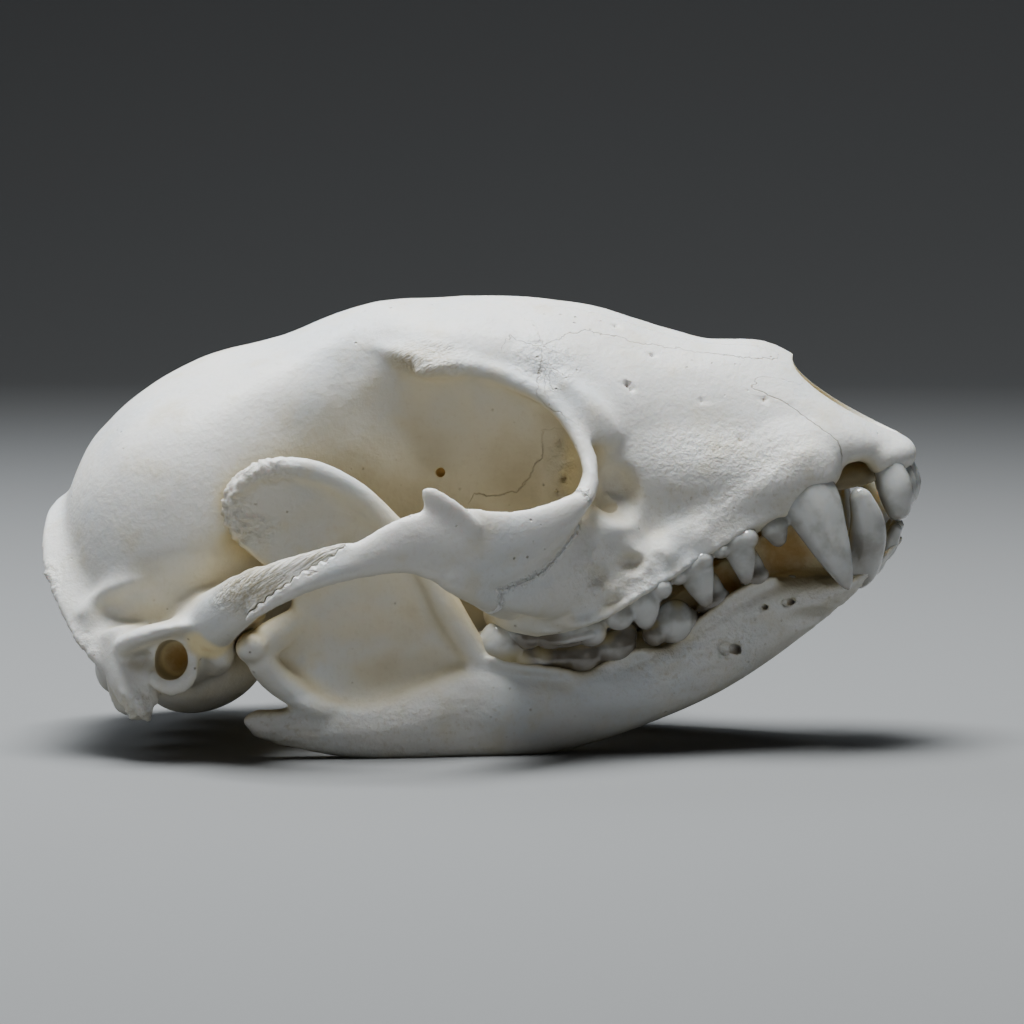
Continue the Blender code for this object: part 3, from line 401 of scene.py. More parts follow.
def nearness(points, centre, reach, side):
    """1 at the middle of a spot, and 0 from its reach outwards, on the side that is asked for."""
    away = (points - np.multiply(centre, (1, side, 1))) / reach
    return np.clip(1 - np.sum(away**2, axis=1), 0, 1)


def sculpt(mesh, strokes, sides):
    """Soft dents and swellings."""
    points = points_of(mesh)
    for centre, reach, push in strokes:
        for side in sides:
            weight = nearness(points, centre, reach, side) ** 2
            points += weight[:, None] * np.multiply(push, (1, side, 1))
    set_points(mesh, points)


HOLE_RIM = 1.5
HOLE_DEPTH = 1.9
HOLE_FLOOR = 1.3
WORN = 0.9


def drill(mesh, holes, sides):
    """Small round pits for vessels and nerves, pushed in along the surface's own normal."""
    points, normals = points_of(mesh), normals_of(mesh)
    for centre, radius in holes:
        for side in sides:
            away = np.linalg.norm(points - np.multiply(centre, (1, side, 1)), axis=1) / (HOLE_RIM * radius)
            points -= normals * (np.clip(1 - away**2, 0, 1) ** 2 * radius * HOLE_DEPTH)[:, None]
    set_points(mesh, points)


LUMP_FADE, LUMP_STEP, LUMP_LAYERS = 0.9, 2.1, 3


def lumps(places):
    """Height of an uneven surface at each place, in lumps of about one unit with finer ones on them."""
    return np.array([noise.fractal(Vector(place), LUMP_FADE, LUMP_STEP, LUMP_LAYERS) for place in places])


def roughen(mesh, patches, sides):
    """Uneven bone where muscles and ligaments held on.

    The grain of a patch is stretched along its three axes, and its first axis rises by the slope in
    degrees.
    """
    points, normals = points_of(mesh), normals_of(mesh)
    for centre, reach, height, grain, stretch, slope in patches:
        lean = math.radians(slope)
        for side in sides:
            weight = nearness(points, centre, reach, side)
            spots = np.nonzero(weight > 0)[0]
            x, y, z = points[spots].T
            along = x * math.cos(lean) + z * math.sin(lean)
            upward = z * math.cos(lean) - x * math.sin(lean)
            places = np.column_stack([along, y, upward]) / (grain * np.array(stretch))
            points[spots] += normals[spots] * (weight[spots] * height * lumps(places))[:, None]
    set_points(mesh, points)


def put_spots(mesh, name, spots, sides):
    """Stores how near each point lies to the given spots, for the finish to read."""
    points = points_of(mesh)
    total = np.zeros(len(points))
    for centre, reach, strength in spots:
        for side in sides:
            total = np.maximum(total, strength * nearness(points, centre, reach, side))
    put_number(mesh, name, total)


def pits(holes):
    """Painted shade on the floor of each drilled hole."""
    return [(centre, (HOLE_FLOOR * radius,) * 3, 1.0) for centre, radius in holes]


def worn_spots(patches):
    """Where the surface is rubbed bare: over each patch of rough bone."""
    return [(centre, reach, WORN) for centre, reach, *_ in patches]


def bowed(points):
    """Places a half jaw that was laid up flat: it leaves the chin and spreads towards the joint."""
    lean = BLADE_LEAN * np.clip(points[:, 2] - LEAN_FROM, 0, None)
    centre = smooth(JAW_BOW, points[:, 0])[:, 0] + lean
    placed = points.copy()
    placed[:, 1] = RIGHT * (centre + points[:, 1])
    return placed


def settle_flats(item):
    """Flat underside for the rest on the ground, and a flat face where the halves meet."""
    points = points_of(item.data)
    points[:, 1] = np.minimum(points[:, 1], -CHIN_GAP / 2)
    points[:, 2] = np.maximum(points[:, 2], 0)
    set_points(item.data, points)


def cut(item, cutter, operation="DIFFERENCE"):
    """Takes the cutter's room out of the bone, or keeps only what lies in it."""
    boolean = item.modifiers.new("Cut", "BOOLEAN")
    boolean.operation = operation
    boolean.solver = "MANIFOLD"
    boolean.object = cutter
    apply_modifiers(item)
    bpy.data.objects.remove(cutter)


def copy_of(item, name, grown=0.0):
    """A copy of the object, with its surface moved out by the given distance."""
    twin = add_object(name, item.data.copy())
    set_points(twin.data, points_of(twin.data) + normals_of(item.data) * grown)
    return twin


def mirrored(item, name):
    """The same piece of the animal's other side."""
    twin = add_object(name, item.data.copy())
    set_points(twin.data, points_of(twin.data) * (1, -1, 1))
    twin.data.flip_normals()
    return twin


def put_number(mesh, name, values):
    """Stores one number per point, for the finish to read."""
    layer = mesh.attributes.new(name, "FLOAT", "POINT")
    layer.data.foreach_set("value", np.ascontiguousarray(values, dtype=np.float32))


def all_bones():
    """One search tree over every bone of the frame."""
    points, faces = [], []
    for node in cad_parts.values():
        first = len(points)
        points += [vertex.co.copy() for vertex in node.data.vertices]
        faces += [[first + i for i in face.vertices] for face in node.data.polygons]
    return BVHTree.FromPolygons(points, faces)


BONES = all_bones()
FIRST_STEP = 0.9 * MM
NUDGE = 0.1
LONGEST_RAY = 22 * MM
RAYS = 20
RECESS_ROUNDS = 4
UNDER_FROM = 0.05


def put_recess(mesh):
    """Stores how closed in each point is, from 0 in the open to 1 deep inside, and how far it faces down.

    Rays fan out from each point over the frame's bones. One that starts inside the plainer bone of
    the frame leaves it first. The result is then evened out between neighbours.
    """
    turn = np.arange(RAYS) * math.pi * (3 - math.sqrt(5))
    rise = 1 - (np.arange(RAYS) + 0.5) / RAYS
    flat = np.sqrt(1 - rise**2)
    fan = np.stack([flat * np.cos(turn), flat * np.sin(turn), rise], axis=1)
    points, normals = points_of(mesh) * MM, normals_of(mesh)
    helper = np.where(np.abs(normals[:, :1]) < 0.9, (1.0, 0.0, 0.0), (0.0, 1.0, 0.0))
    tangent = unit(np.cross(normals, helper))
    other = np.cross(normals, tangent)
    starts = points + normals * FIRST_STEP
    closed = np.zeros(len(points))
    for along, across, out in fan:
        ways = tangent * along + other * across + normals * out
        for i, (start, way) in enumerate(zip(starts, ways)):
            way = Vector(way)
            place, facing, _, _ = BONES.ray_cast(start, way, LONGEST_RAY)
            if place is not None and facing.dot(way) > 0:
                place = BONES.ray_cast(place + way * NUDGE * MM, way, LONGEST_RAY)[0]
            if place is not None:
                closed[i] += 1
    closed /= RAYS
    first, second = edges_of(mesh)
    count = len(points)
    links = np.bincount(first, minlength=count) + np.bincount(second, minlength=count) + 1
    for _ in range(RECESS_ROUNDS):
        total = closed + np.bincount(first, closed[second], count)
        total += np.bincount(second, closed[first], count)
        closed = total / links
    # The finishes read both numbers as painted shade: darker where a point is closed in and where it faces
    # down.
    put_number(mesh, "recess", closed)
    put_number(mesh, "underside_shade", np.clip(UNDER_FROM - normals[:, 2], 0, 1))


NO_SEAM = 9.0
SEAM_REACH = 3
SEAM_STEPS = 90


def put_seams(mesh, seams):
    """Stores the signed distance to the nearest suture, in millimetres, and how strongly it zigzags."""
    points, normals = points_of(mesh), normals_of(mesh)
    nearest = np.full(len(points), NO_SEAM)
    signed = np.full(len(points), NO_SEAM)
    zigzag = np.zeros(len(points))
    for route, swing in seams:
        line = through(route, SEAM_STEPS)
        tree = KDTree(len(line))
        for i, place in enumerate(line):
            tree.insert(place, i)
        tree.balance()
        low, high = line.min(axis=0) - SEAM_REACH, line.max(axis=0) + SEAM_REACH
        for i in np.nonzero(np.all((points > low) & (points < high), axis=1))[0]:
            _, spot, distance = tree.find(points[i])
            if distance < nearest[i]:
                inner = 0 < spot < len(line) - 1
                ahead = line[min(spot + 1, len(line) - 1)] - line[max(spot - 1, 0)]
                turn = np.dot(np.cross(ahead, normals[i]), points[i] - line[spot])
                nearest[i] = distance
                signed[i] = -distance if inner and turn < 0 else distance
                zigzag[i] = swing
    put_number(mesh, "seam", signed)
    put_number(mesh, "zigzag", zigzag)


class Wire:
    """A socket of a material. Arithmetic on it adds Math nodes, and node() adds any other node."""

    def __init__(self, tree, socket=None):
        self.tree, self.socket = tree, socket

    def node(self, kind, settings=None, inputs=None, output=0):
        """Adds a node, sets its settings and then its inputs, and gives one of its outputs."""
        made = self.tree.nodes.new(kind)
        for name, value in (settings or {}).items():
            setattr(made, name, value)
        self.feed(made, inputs or {})
        return Wire(self.tree, made.outputs[output])

    def feed(self, node, inputs):
        """Links wires to the node's sockets, and sets plain values on them."""
        for name, value in inputs.items():
            if isinstance(value, Wire):
                self.tree.links.new(value.socket, node.inputs[name])
            else:
                node.inputs[name].default_value = value

    def math(self, operation, *values):
        return self.node("ShaderNodeMath", {"operation": operation}, dict(enumerate(values)))

    def __add__(self, other):
        return self.math("ADD", self, other)

    def __radd__(self, other):
        return self.math("ADD", other, self)

    def __sub__(self, other):
        return self.math("SUBTRACT", self, other)

    def __rsub__(self, other):
        return self.math("SUBTRACT", other, self)

    def __mul__(self, other):
        return self.math("MULTIPLY", self, other)

    def __rmul__(self, other):
        return self.math("MULTIPLY", other, self)

    def __abs__(self):
        return self.math("ABSOLUTE", self)

    def step(self, low, high):
        """Rises smoothly from 0 at low to 1 at high."""
        return self.node("ShaderNodeMapRange", {"interpolation_type": "SMOOTHSTEP"},
                         {"Value": self, "From Min": low, "From Max": high})

    def mix(self, one, other):
        """Blends two colours, with this wire as the share of the second."""
        return self.node("ShaderNodeMix", {"data_type": "RGBA"}, {0: self, 6: one, 7: other}, output=2)


def new_material(name):
    """A material, its shader, and the wire that its other nodes start from."""
    material = bpy.data.materials.new(name)
    material.use_nodes = True
    return material, material.node_tree.nodes["Principled BSDF"], Wire(material.node_tree)


def named_number(start, name):
    """Reads a number that is stored at each point of the mesh."""
    return start.node("ShaderNodeAttribute", {"attribute_name": name}, output=2)


def grain_of(start, place, size, detail=3.0, rough=0.5):
    """Cloudy noise whose lumps are about the given size in millimetres."""
    inputs = {"Vector": place, "Scale": 1 / (size * MM), "Detail": detail, "Roughness": rough}
    return start.node("ShaderNodeTexNoise", inputs=inputs)


def bump_of(start, height, strength):
    """Relief in the surface, from its height in millimetres."""
    return start.node("ShaderNodeBump", inputs={"Strength": strength, "Distance": MM, "Height": height})


# Colours of the bone. Ivory, the shade-and-dust brown, the underside colour and amber also serve as painted
# shade in the finish.
WHITE_BONE = (0.83, 0.82, 0.79, 1)
COOL_BONE = (0.74, 0.77, 0.79, 1)
IVORY_BONE = (0.74, 0.68, 0.53, 1)
SHADE_AND_DUST_BONE = (0.46, 0.39, 0.24, 1)
UNDERSIDE_SHADE_BONE = (0.32, 0.29, 0.21, 1)
CREAM = (0.80, 0.68, 0.40, 1)
AMBER = (0.56, 0.34, 0.10, 1)
SEAM_BROWN = (0.30, 0.23, 0.15, 1)
PIT_SHADE_BROWN = (0.44, 0.33, 0.18, 1)
ARM_SLOPE = math.radians(34)


def bone_finish(name):
    """Bleached bone: chalky white, with painted shade that turns it ivory in its recesses and amber deep
    inside, pitted and finely lined.
    """
    material, shader, start = new_material(name)
    place = start.node("ShaderNodeTexCoord", output=3)
    recess = named_number(start, "recess")
    worn = named_number(start, "worn")
    fibre_and_shade = named_number(start, "fibre_and_shade")
    stain_and_shade = named_number(start, "stain_and_shade")

    # Grains of several sizes, and fine strands that follow the slope of the arch.
    clouds = grain_of(start, place, size=14.0)
    patches = grain_of(start, place, size=5.0, detail=4.0)
    dust = grain_of(start, place, size=0.7, detail=4.0, rough=0.6)
    ripple = grain_of(start, place, size=2.2, detail=5.0, rough=0.62)
    sloped = start.node("ShaderNodeMapping", inputs={"Vector": place, "Rotation": (0.0, ARM_SLOPE, 0.0)})
    along = start.node("ShaderNodeMapping", inputs={"Vector": sloped, "Scale": (0.12, 1.0, 1.0)})
    strands = grain_of(start, along, size=0.30, detail=2.0, rough=0.5)
    pores = start.node("ShaderNodeTexVoronoi", inputs={"Vector": place, "Scale": 1 / (1.7 * MM)})
    pore = (1 - pores.step(0.05, 0.14)) * grain_of(start, place, size=9.0).step(0.50, 0.66)

    # White with cooler and yellower clouds, and painted shade: darker where it faces down, and ivory, brown
    # and then amber the more it is closed in.
    colour = clouds.step(0.44, 0.66).mix(WHITE_BONE, COOL_BONE)
    colour = (patches.step(0.5, 0.75) * 0.6).mix(colour, IVORY_BONE)
    # Painted shade: darker the more the bone faces down.
    colour = (named_number(start, "underside_shade") * 0.8).mix(colour, UNDERSIDE_SHADE_BONE)
    colour = recess.step(0.10, 0.45).mix(colour, IVORY_BONE)
    colour = (recess + 0.25 * (patches - 0.5)).step(0.30, 0.72).mix(colour, SHADE_AND_DUST_BONE)
    colour = (recess + 0.3 * (dust - 0.5)).step(0.80, 1.0).mix(colour, AMBER)

    # Dust in worn bone, fibres, stains, pores, and the sutures as broken lines that wander. Fibres and stains
    # also darken as painted shade, and stains add the warm tint of light through thin bone.
    colour = (dust.step(0.5, 0.75) * (0.14 + 0.3 * worn)).mix(colour, SHADE_AND_DUST_BONE)
    # Fibres, with painted shade: the whole spot darkens a little, and more along the strands.
    colour = (fibre_and_shade * (0.32 + 0.6 * strands.step(0.40, 0.62))).mix(colour, SHADE_AND_DUST_BONE)
    # Painted shade with the warm tint of light through thin bone, and some real yellowing: cream, then amber.
    colour = (stain_and_shade + 0.6 * (patches - 0.5)).step(0.15, 0.55).mix(colour, CREAM)
    colour = (stain_and_shade + 0.6 * (ripple - 0.5)).step(0.55, 1.0).mix(colour, AMBER)
    colour = (pore * 0.5).mix(colour, SEAM_BROWN)
    wander = (grain_of(start, place, size=1.6, detail=3.0) - 0.5) * named_number(start, "zigzag")
    seam = 1 - abs(named_number(start, "seam") + wander).step(0.02, 0.15)
    broken = grain_of(start, place, size=2.6).step(0.38, 0.56)
    colour = (seam * (0.08 + 0.46 * broken)).mix(colour, SEAM_BROWN)
    # Painted shade on the floors of the drilled pits.
    colour = named_number(start, "pit_shade").step(0.35, 0.8).mix(colour, PIT_SHADE_BROWN)
    crust = named_number(start, "crust") * dust.step(0.35, 0.6)
    colour = crust.step(0.15, 0.5).mix(colour, WHITE_BONE)

    # Relief: rougher where the bone is worn, in the fibres and on the crust of the sutures.
    relief = (0.05 + 0.24 * worn) * ripple + (0.10 + 0.36 * worn) * dust
    height = relief + 0.3 * patches - 0.22 * pore - 0.14 * seam + 0.7 * fibre_and_shade * strands + 0.6 * crust
    start.feed(shader, {
        "Base Color": colour,
        "Roughness": 0.36 + 0.22 * dust,
        "Normal": bump_of(start, height, strength=0.8),
        "Subsurface Weight": 0.15,
        "Subsurface Radius": (1.0, 0.66, 0.38),
        "Subsurface Scale": 0.0012,
        "Specular IOR Level": 0.42,
    })
    return material


# The frame's origin is the middle of the whole part, a little in front of where these sizes start.
CENTRE_SHIFT = np.array([-0.6, 0.0, 0.0])


def finish_piece(item, node, material):
    """Puts a finished mesh in its place in the frame, where it takes over from the node's own solid."""
    set_points(item.data, points_of(item.data) + CENTRE_SHIFT)
    item.data.shade_smooth()
    item.data.materials.clear()
    item.data.materials.append(material)
    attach(item, "root")
    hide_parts(node)


def put_shade(mesh):
    """Reads the shade where the piece lies in the frame, so the mesh is moved there and back."""
    set_points(mesh, points_of(mesh) + CENTRE_SHIFT)
    put_recess(mesh)
    set_points(mesh, points_of(mesh) - CENTRE_SHIFT)


plate = slab(BLADE_OUTLINE, BLADE_HALF) + BLADE_INSET
jaw_forms = [jaw_body(), plate, knuckle(), tongue_side_ridge(), lower_gum_edge(), *jaw_ridges()]
jaw_right = object_from("jaw_right", jaw_forms)
fuse(jaw_right, JAW_GRAIN)
ease(jaw_right.data, rounds=20)

# While it lies flat, its outer face looks left. Bowing mirrors it to the right, so its faces are flipped.
sculpt(jaw_right.data, JAW_STROKES, (LEFT,))
set_points(jaw_right.data, bowed(points_of(jaw_right.data)))
jaw_right.data.flip_normals()
jaw_room = copy_of(jaw_right, "jaw_room", JOINT_GAP)
roughen(jaw_right.data, JAW_ROUGH, (RIGHT,))
cut(jaw_right, object_from("jaw_canals", jaw_canals()))
drill(jaw_right.data, JAW_HOLES, (RIGHT,))
settle_flats(jaw_right)
put_shade(jaw_right.data)
put_seams(jaw_right.data, seams=[])
put_spots(jaw_right.data, "pit_shade", pits(JAW_HOLES), (RIGHT,))
put_spots(jaw_right.data, "worn", worn_spots(JAW_ROUGH), (RIGHT,))
put_spots(jaw_right.data, "stain_and_shade", JAW_STAINS_AND_SHADE, (RIGHT,))
jaw_left = mirrored(jaw_right, "jaw_left")
bone = bone_finish("bleached bone")
finish_piece(jaw_right, "dentary_right", bone)
finish_piece(jaw_left, "dentary_left", bone)


# Cranium and cheek bones. The cranium is one mass of fused bones from the nape to the snout, bleached
# and dry. A thin curved cheek bone on each side closes the arch below the eye, and meets it flush at
# ragged open sutures. Closed forms are fused and eased together, hollowed, and then split there.

CRANIUM_GRAIN = 0.44
CRANIUM_TRIANGLES = 188000
NAPE_END, NAPE_ROUND, SNOUT_END = -54.6, -50.0, 55.0
SHARP_ANGLE = math.radians(50)

# Cheek bone: its curved bar, its upright point and its lower front corner.
CHEEK_PATH = [
    (13.7, 22.0, 32.4), (10.4, 25.4, 29.8), (5.0, 29.4, 27.4), (-1.0, 32.8, 27.4),
    (-6.0, 34.8, 28.0), (-12.0, 36.2, 26.4), (-19.0, 36.8, 23.6), (-27.2, 35.8, 18.4),
]
CHEEK_SIZES = [
    (1.3, 1.5), (1.5, 2.9), (1.6, 4.4), (1.6, 5.0),
    (1.5, 3.9), (1.4, 2.4), (1.2, 1.3), (0.4, 0.4),
]
CHEEK_POINT = [(-0.4, 32.6, 28.0), (-2.2, 33.4, 31.0), (-3.8, 34.2, 33.4), (-5.1, 34.6, 35.1)]
CHEEK_FOOT = [
    (-3.0, 34.0, 24.9), (-0.6, 32.4, 23.2), (1.2, 30.2, 22.0), (2.6, 27.6, 20.8), (4.0, 24.6, 19.8),
    (5.8, 21.4, 19.2),
]
CHEEK_STROKES = [((-18.0, 38.0, 23.6), (10.0, 4.0, 5.0), (0.0, 0.45, 0.0))]
CHEEK_ROUGH = [
    ((-2.0, 34.0, 24.0), (10.0, 4.0, 3.4), 0.14, 1.4, (3.0, 1.0, 1.0), 0),
    ((-20.0, 36.8, 23.0), (9.0, 3.0, 4.0), 0.08, 0.7, (6.0, 2.0, 1.0), 30),
]

# Rails of the cranium, read at x: the height of the roof, then y and z of the temple, of the flank and
# of the belly, and the height of the base.
ROOF = [
    (-54.6, 28.5), (-53.2, 32.3), (-51.4, 37.0), (-48.0, 41.4), (-43.0, 45.6), (-36.6, 49.1),
    (-25.0, 52.4), (-19.5, 54.7), (-14.5, 56.3), (-6.7, 57.0), (7.5, 57.0), (15.2, 55.8),
    (21.7, 53.8), (28.1, 52.0), (38.0, 51.0), (45.0, 46.2), (52.0, 40.8), (55.0, 39.0),
]
SIDE_AND_BASE = [
    (-54.6, 4.0, 27.0, 5.5, 25.0, 4.0, 22.5, 22.5),
    (-52.5, 9.5, 31.5, 12.5, 24.5, 9.0, 18.5, 17.5),
    (-50.0, 13.5, 34.0, 17.0, 25.0, 13.0, 15.5, 13.5),
    (-45.0, 17.2, 38.5, 22.2, 26.0, 17.5, 12.5, 8.8),
    (-39.0, 18.8, 41.5, 24.6, 28.0, 20.0, 14.0, 8.4),
    (-33.0, 18.0, 44.0, 24.2, 30.0, 20.5, 17.5, 10.6),
    (-26.0, 14.6, 47.6, 20.4, 33.0, 16.6, 20.5, 14.4),
    (-20.0, 11.6, 50.4, 16.0, 36.0, 12.0, 22.0, 17.6),
    (-14.0, 9.4, 52.4, 12.2, 38.0, 9.0, 23.0, 19.4),
    (-8.0, 11.8, 51.8, 10.8, 39.0, 7.8, 23.0, 19.6),
    (-2.0, 12.4, 51.2, 10.2, 39.0, 7.8, 22.5, 18.8),
    (4.0, 11.8, 50.6, 10.0, 39.0, 8.4, 22.0, 18.4),
    (10.0, 12.2, 49.4, 11.4, 39.0, 10.0, 22.0, 19.6),
    (16.0, 11.4, 48.2, 15.0, 38.5, 13.5, 22.5, 22.4),
    (24.0, 8.8, 48.2, 13.4, 38.5, 13.4, 26.0, 26.4),
    (32.0, 7.4, 47.8, 12.0, 39.0, 12.4, 29.6, 30.4),
    (40.0, 6.8, 46.0, 11.4, 39.6, 11.6, 33.6, 34.2),
    (48.0, 6.4, 42.0, 9.6, 39.4, 8.8, 36.6, 37.0),
    (55.0, 3.6, 38.6, 4.8, 37.8, 4.4, 36.8, 37.2),
]

CRANIUM_STROKES = [
    ((-8.0, 12.0, 42.0), (9.0, 8.0, 9.0), (0.0, -1.2, 0.0)),
    ((29.0, 13.5, 35.8), (16.0, 6.0, 6.4), (0.0, 1.1, 0.0)),
    ((41.0, 11.4, 38.5), (7.0, 4.0, 5.0), (0.0, 0.8, 0.3)),
    ((-36.0, 24.0, 22.0), (9.0, 6.0, 5.0), (0.0, -0.9, 0.0)),
    ((44.2, 12.4, 34.8), (3.2, 3.0, 3.4), (0.0, 0.5, 0.0)),
    ((28.6, 15.2, 27.2), (2.0, 3.0, 2.6), (0.0, 0.5, 0.0)),
    ((24.2, 16.8, 25.2), (2.0, 3.0, 2.2), (0.0, 0.5, 0.0)),
    ((18.2, 17.2, 33.0), (3.9, 5.0, 4.8), (-0.4, -2.6, 0.0)),
    ((17.4, 17.6, 34.4), (2.6, 4.0, 4.4), (0.0, -1.2, 0.0)),
    ((18.2, 19.0, 28.4), (4.8, 4.0, 2.6), (0.0, 0.7, 0.4)),
    ((20.3, 19.0, 26.4), (2.4, 3.0, 2.0), (0.0, 0.8, 0.0)),
    ((19.8, 18.7, 24.3), (2.2, 2.2, 1.9), (0.0, -1.3, 0.0)),
    ((15.6, 20.9, 22.8), (2.2, 2.6, 1.8), (0.0, -1.1, 0.0)),
    ((23.4, 17.0, 24.8), (1.5, 2.2, 1.4), (0.0, -0.5, 0.0)),
    ((17.8, 19.6, 21.0), (1.8, 2.4, 1.5), (0.0, 0.7, 0.0)),
    ((12.4, 20.4, 19.6), (2.6, 2.8, 1.3), (0.0, -0.5, 0.0)),
    ((12.0, 20.2, 17.2), (3.6, 2.6, 1.3), (0.0, 0.7, -0.2)),
    ((5.4, 19.0, 16.8), (3.0, 2.6, 1.4), (0.0, 0.5, 0.0)),
    ((35.0, 12.0, 33.6), (2.6, 3.0, 2.2), (0.0, 0.4, 0.0)),
    ((-44.4, 26.6, 20.9), (3.2, 4.0, 1.5), (0.0, 0.7, 0.3)),
    ((-48.2, 23.0, 17.8), (2.4, 4.0, 2.4), (0.0, 0.7, 0.0)),
    ((-38.6, 27.4, 22.6), (4.0, 4.0, 1.4), (0.0, 0.5, 0.2)),
    ((-41.0, 26.4, 18.6), (4.4, 4.0, 1.9), (0.0, -0.9, 0.0)),
    ((-36.4, 26.4, 20.2), (3.4, 4.0, 1.6), (0.0, -0.6, 0.0)),
    ((-41.4, 25.8, 12.8), (2.4, 4.0, 1.6), (0.0, -1.9, 0.0)),
    ((-42.6, 26.4, 9.0), (1.4, 4.0, 2.6), (0.0, 0.4, 0.0)),
    ((-37.0, 28.0, 17.2), (5.0, 4.0, 1.2), (0.0, 0.6, 0.0)),
    ((-22.0, 14.0, 45.0), (9.0, 6.0, 6.0), (0.0, 0.4, 0.0)),
]
CRANIUM_HOLES = [
    ((7.5, 10.6, 51.6), 0.25), ((8.3, 10.4, 51.7), 0.2), ((19.2, 11.8, 46.6), 0.45),
    ((19.6, 11.9, 45.9), 0.4), ((11.7, 12.9, 47.3), 0.3), ((13.2, 12.7, 47.3), 0.3),
    ((22.1, 7.5, 50.0), 0.3), ((17.4, 4.5, 53.6), 0.3), ((39.8, 9.3, 43.9), 0.35),
    ((36.4, 8.9, 44.4), 0.35), ((42.8, 9.8, 42.4), 0.35), ((28.3, 10.4, 44.4), 0.25),
    ((33.4, 11.8, 39.5), 0.35), ((25.8, 13.1, 35.7), 0.3), ((10.3, 11.6, 39.2), 0.4),
    ((10.9, 11.9, 34.6), 0.45), ((10.2, 11.5, 32.8), 0.3), ((-43.2, 26.4, 19.0), 0.3),
]
CRANIUM_ROUGH = [
    ((-54.4, 17.0, 20.6), (2.4, 6.0, 4.6), 0.34, 0.6, EVEN, 0),
    ((-50.0, 22.0, 12.0), (5.0, 5.0, 5.0), 0.32, 0.8, EVEN, 0),
    ((-41.6, 26.0, 6.4), (4.0, 4.0, 3.4), 0.85, 1.3, EVEN, 0),
    ((-5.0, 14.0, 49.6), (6.0, 4.0, 3.0), 0.24, 0.7, (1.0, 2.4, 2.4), 0),
    ((-25.0, 34.0, 22.4), (10.0, 5.0, 5.6), 0.22, 0.5, (8.0, 3.0, 1.0), 35),
    ((31.0, 13.0, 34.0), (16.0, 6.0, 9.0), 0.07, 0.8, EVEN, 0),
    ((17.0, 20.0, 22.6), (9.0, 5.0, 4.4), 0.14, 0.9, (1.4, 1.0, 1.0), 0),
    ((9.0, 12.0, 49.0), (5.0, 4.0, 6.0), 0.16, 0.7, EVEN, 0),
    ((10.8, 12.2, 36.0), (2.6, 3.4, 5.4), 0.28, 1.2, EVEN, 0),
]
ROOF_WAVES = ((0.0, 0.0, 52.0), (60.0, 20.0, 12.0), 0.04, 2.6, (1.5, 1.0, 1.0), 0)
# Stains, partly real yellowing and partly painted shade in hollows and gaps, as (centre, reach, strength).
CRANIUM_STAINS_AND_SHADE = [
    ((-32.6, 27.0, 15.4), (4.0, 4.0, 3.2), 0.8),
    ((-37.0, 24.6, 12.6), (2.4, 3.6, 2.4), 1.0),
    ((2.0, 17.0, 14.8), (3.6, 3.6, 3.4), 0.45),
    ((12.0, 14.0, 36.0), (3.0, 4.0, 6.0), 0.5),
    ((-4.8, 8.6, 35.0), (1.4, 1.8, 1.4), 1.2),
    ((-28.0, 22.0, 27.0), (5.0, 4.0, 4.0), 0.5),
    ((-36.6, 22.8, 12.6), (3.4, 3.4, 3.4), 1.0),
    ((46.0, 0.0, 35.0), (10.0, 8.0, 5.0), 0.5),
    ((44.0, 0.0, 43.0), (12.0, 6.0, 5.0), 0.4),
]
# Fibres, and painted shade over them, as (centre, reach, strength).
FIBRE_AND_SHADE_SPOTS = [
    ((-25.0, 34.0, 23.0), (9.0, 6.0, 5.0), 1.0),
    ((-16.0, 37.0, 27.0), (8.0, 4.0, 4.0), 0.8),
    ((-7.0, 14.0, 50.0), (6.0, 5.0, 3.0), 0.8),
]


POLE_CAP = 0.12


def lump(centre, radii, side=LEFT, tilt=0.0):
    """Rings of an ellipsoid. tilt turns it about Y in degrees, nose up."""
    along = np.cos(np.linspace(POLE_CAP, np.pi - POLE_CAP, 24))
    turn = np.linspace(0, 2 * np.pi, 36, endpoint=False)
    girth = np.sqrt(1 - along**2)[:, None]
    ball = np.stack(
        [
            np.repeat(along[:, None], len(turn), 1) * radii[0],
            girth * np.cos(turn) * radii[1],
            girth * np.sin(turn) * radii[2],
        ],
        axis=-1,
    )
    angle = np.radians(tilt)
    x, z = ball[..., 0].copy(), ball[..., 2].copy()
    ball[..., 0] = x * np.cos(angle) - z * np.sin(angle)
    ball[..., 2] = x * np.sin(angle) + z * np.cos(angle)
    return (ball + np.asarray(centre, float)) * (1, side, 1)


EDGE_ROUND = 0.12


def blade(edge, root, edge_half, root_half, side=LEFT, count=60):
    """Rings of a tapering ridge that stands from the root line out to the edge line."""
    outer, inner = through(edge, count), through(root, count)
    forward = np.gradient(outer, axis=0)
    across = unit(np.cross(forward, outer - inner))
    middle = (outer + inner) / 2
    half = (edge_half + root_half) / 2
    tip = outer + (outer - middle) * EDGE_ROUND
    ring = [
        inner - across * root_half,
        middle - across * half,
        outer - across * edge_half,
        tip,
        outer + across * edge_half,
        middle + across * half,
        inner + across * root_half,
    ]
    return np.stack(ring, axis=1) * (1, side, 1)


def skull_core():
    """The vault, the brow and the snout as one form drawn over the rails."""
    rings = []
    for x in stations(NAPE_END, NAPE_ROUND, SNOUT_END, close=14, wide=170):
        roof = smooth(ROOF, x)[0, 0]
        *half, base = smooth(SIDE_AND_BASE, x)[0]
        rings.append(hoop(x, roof, np.reshape(half, (3, 2)), base, per_gap=14))
    return np.array(rings)


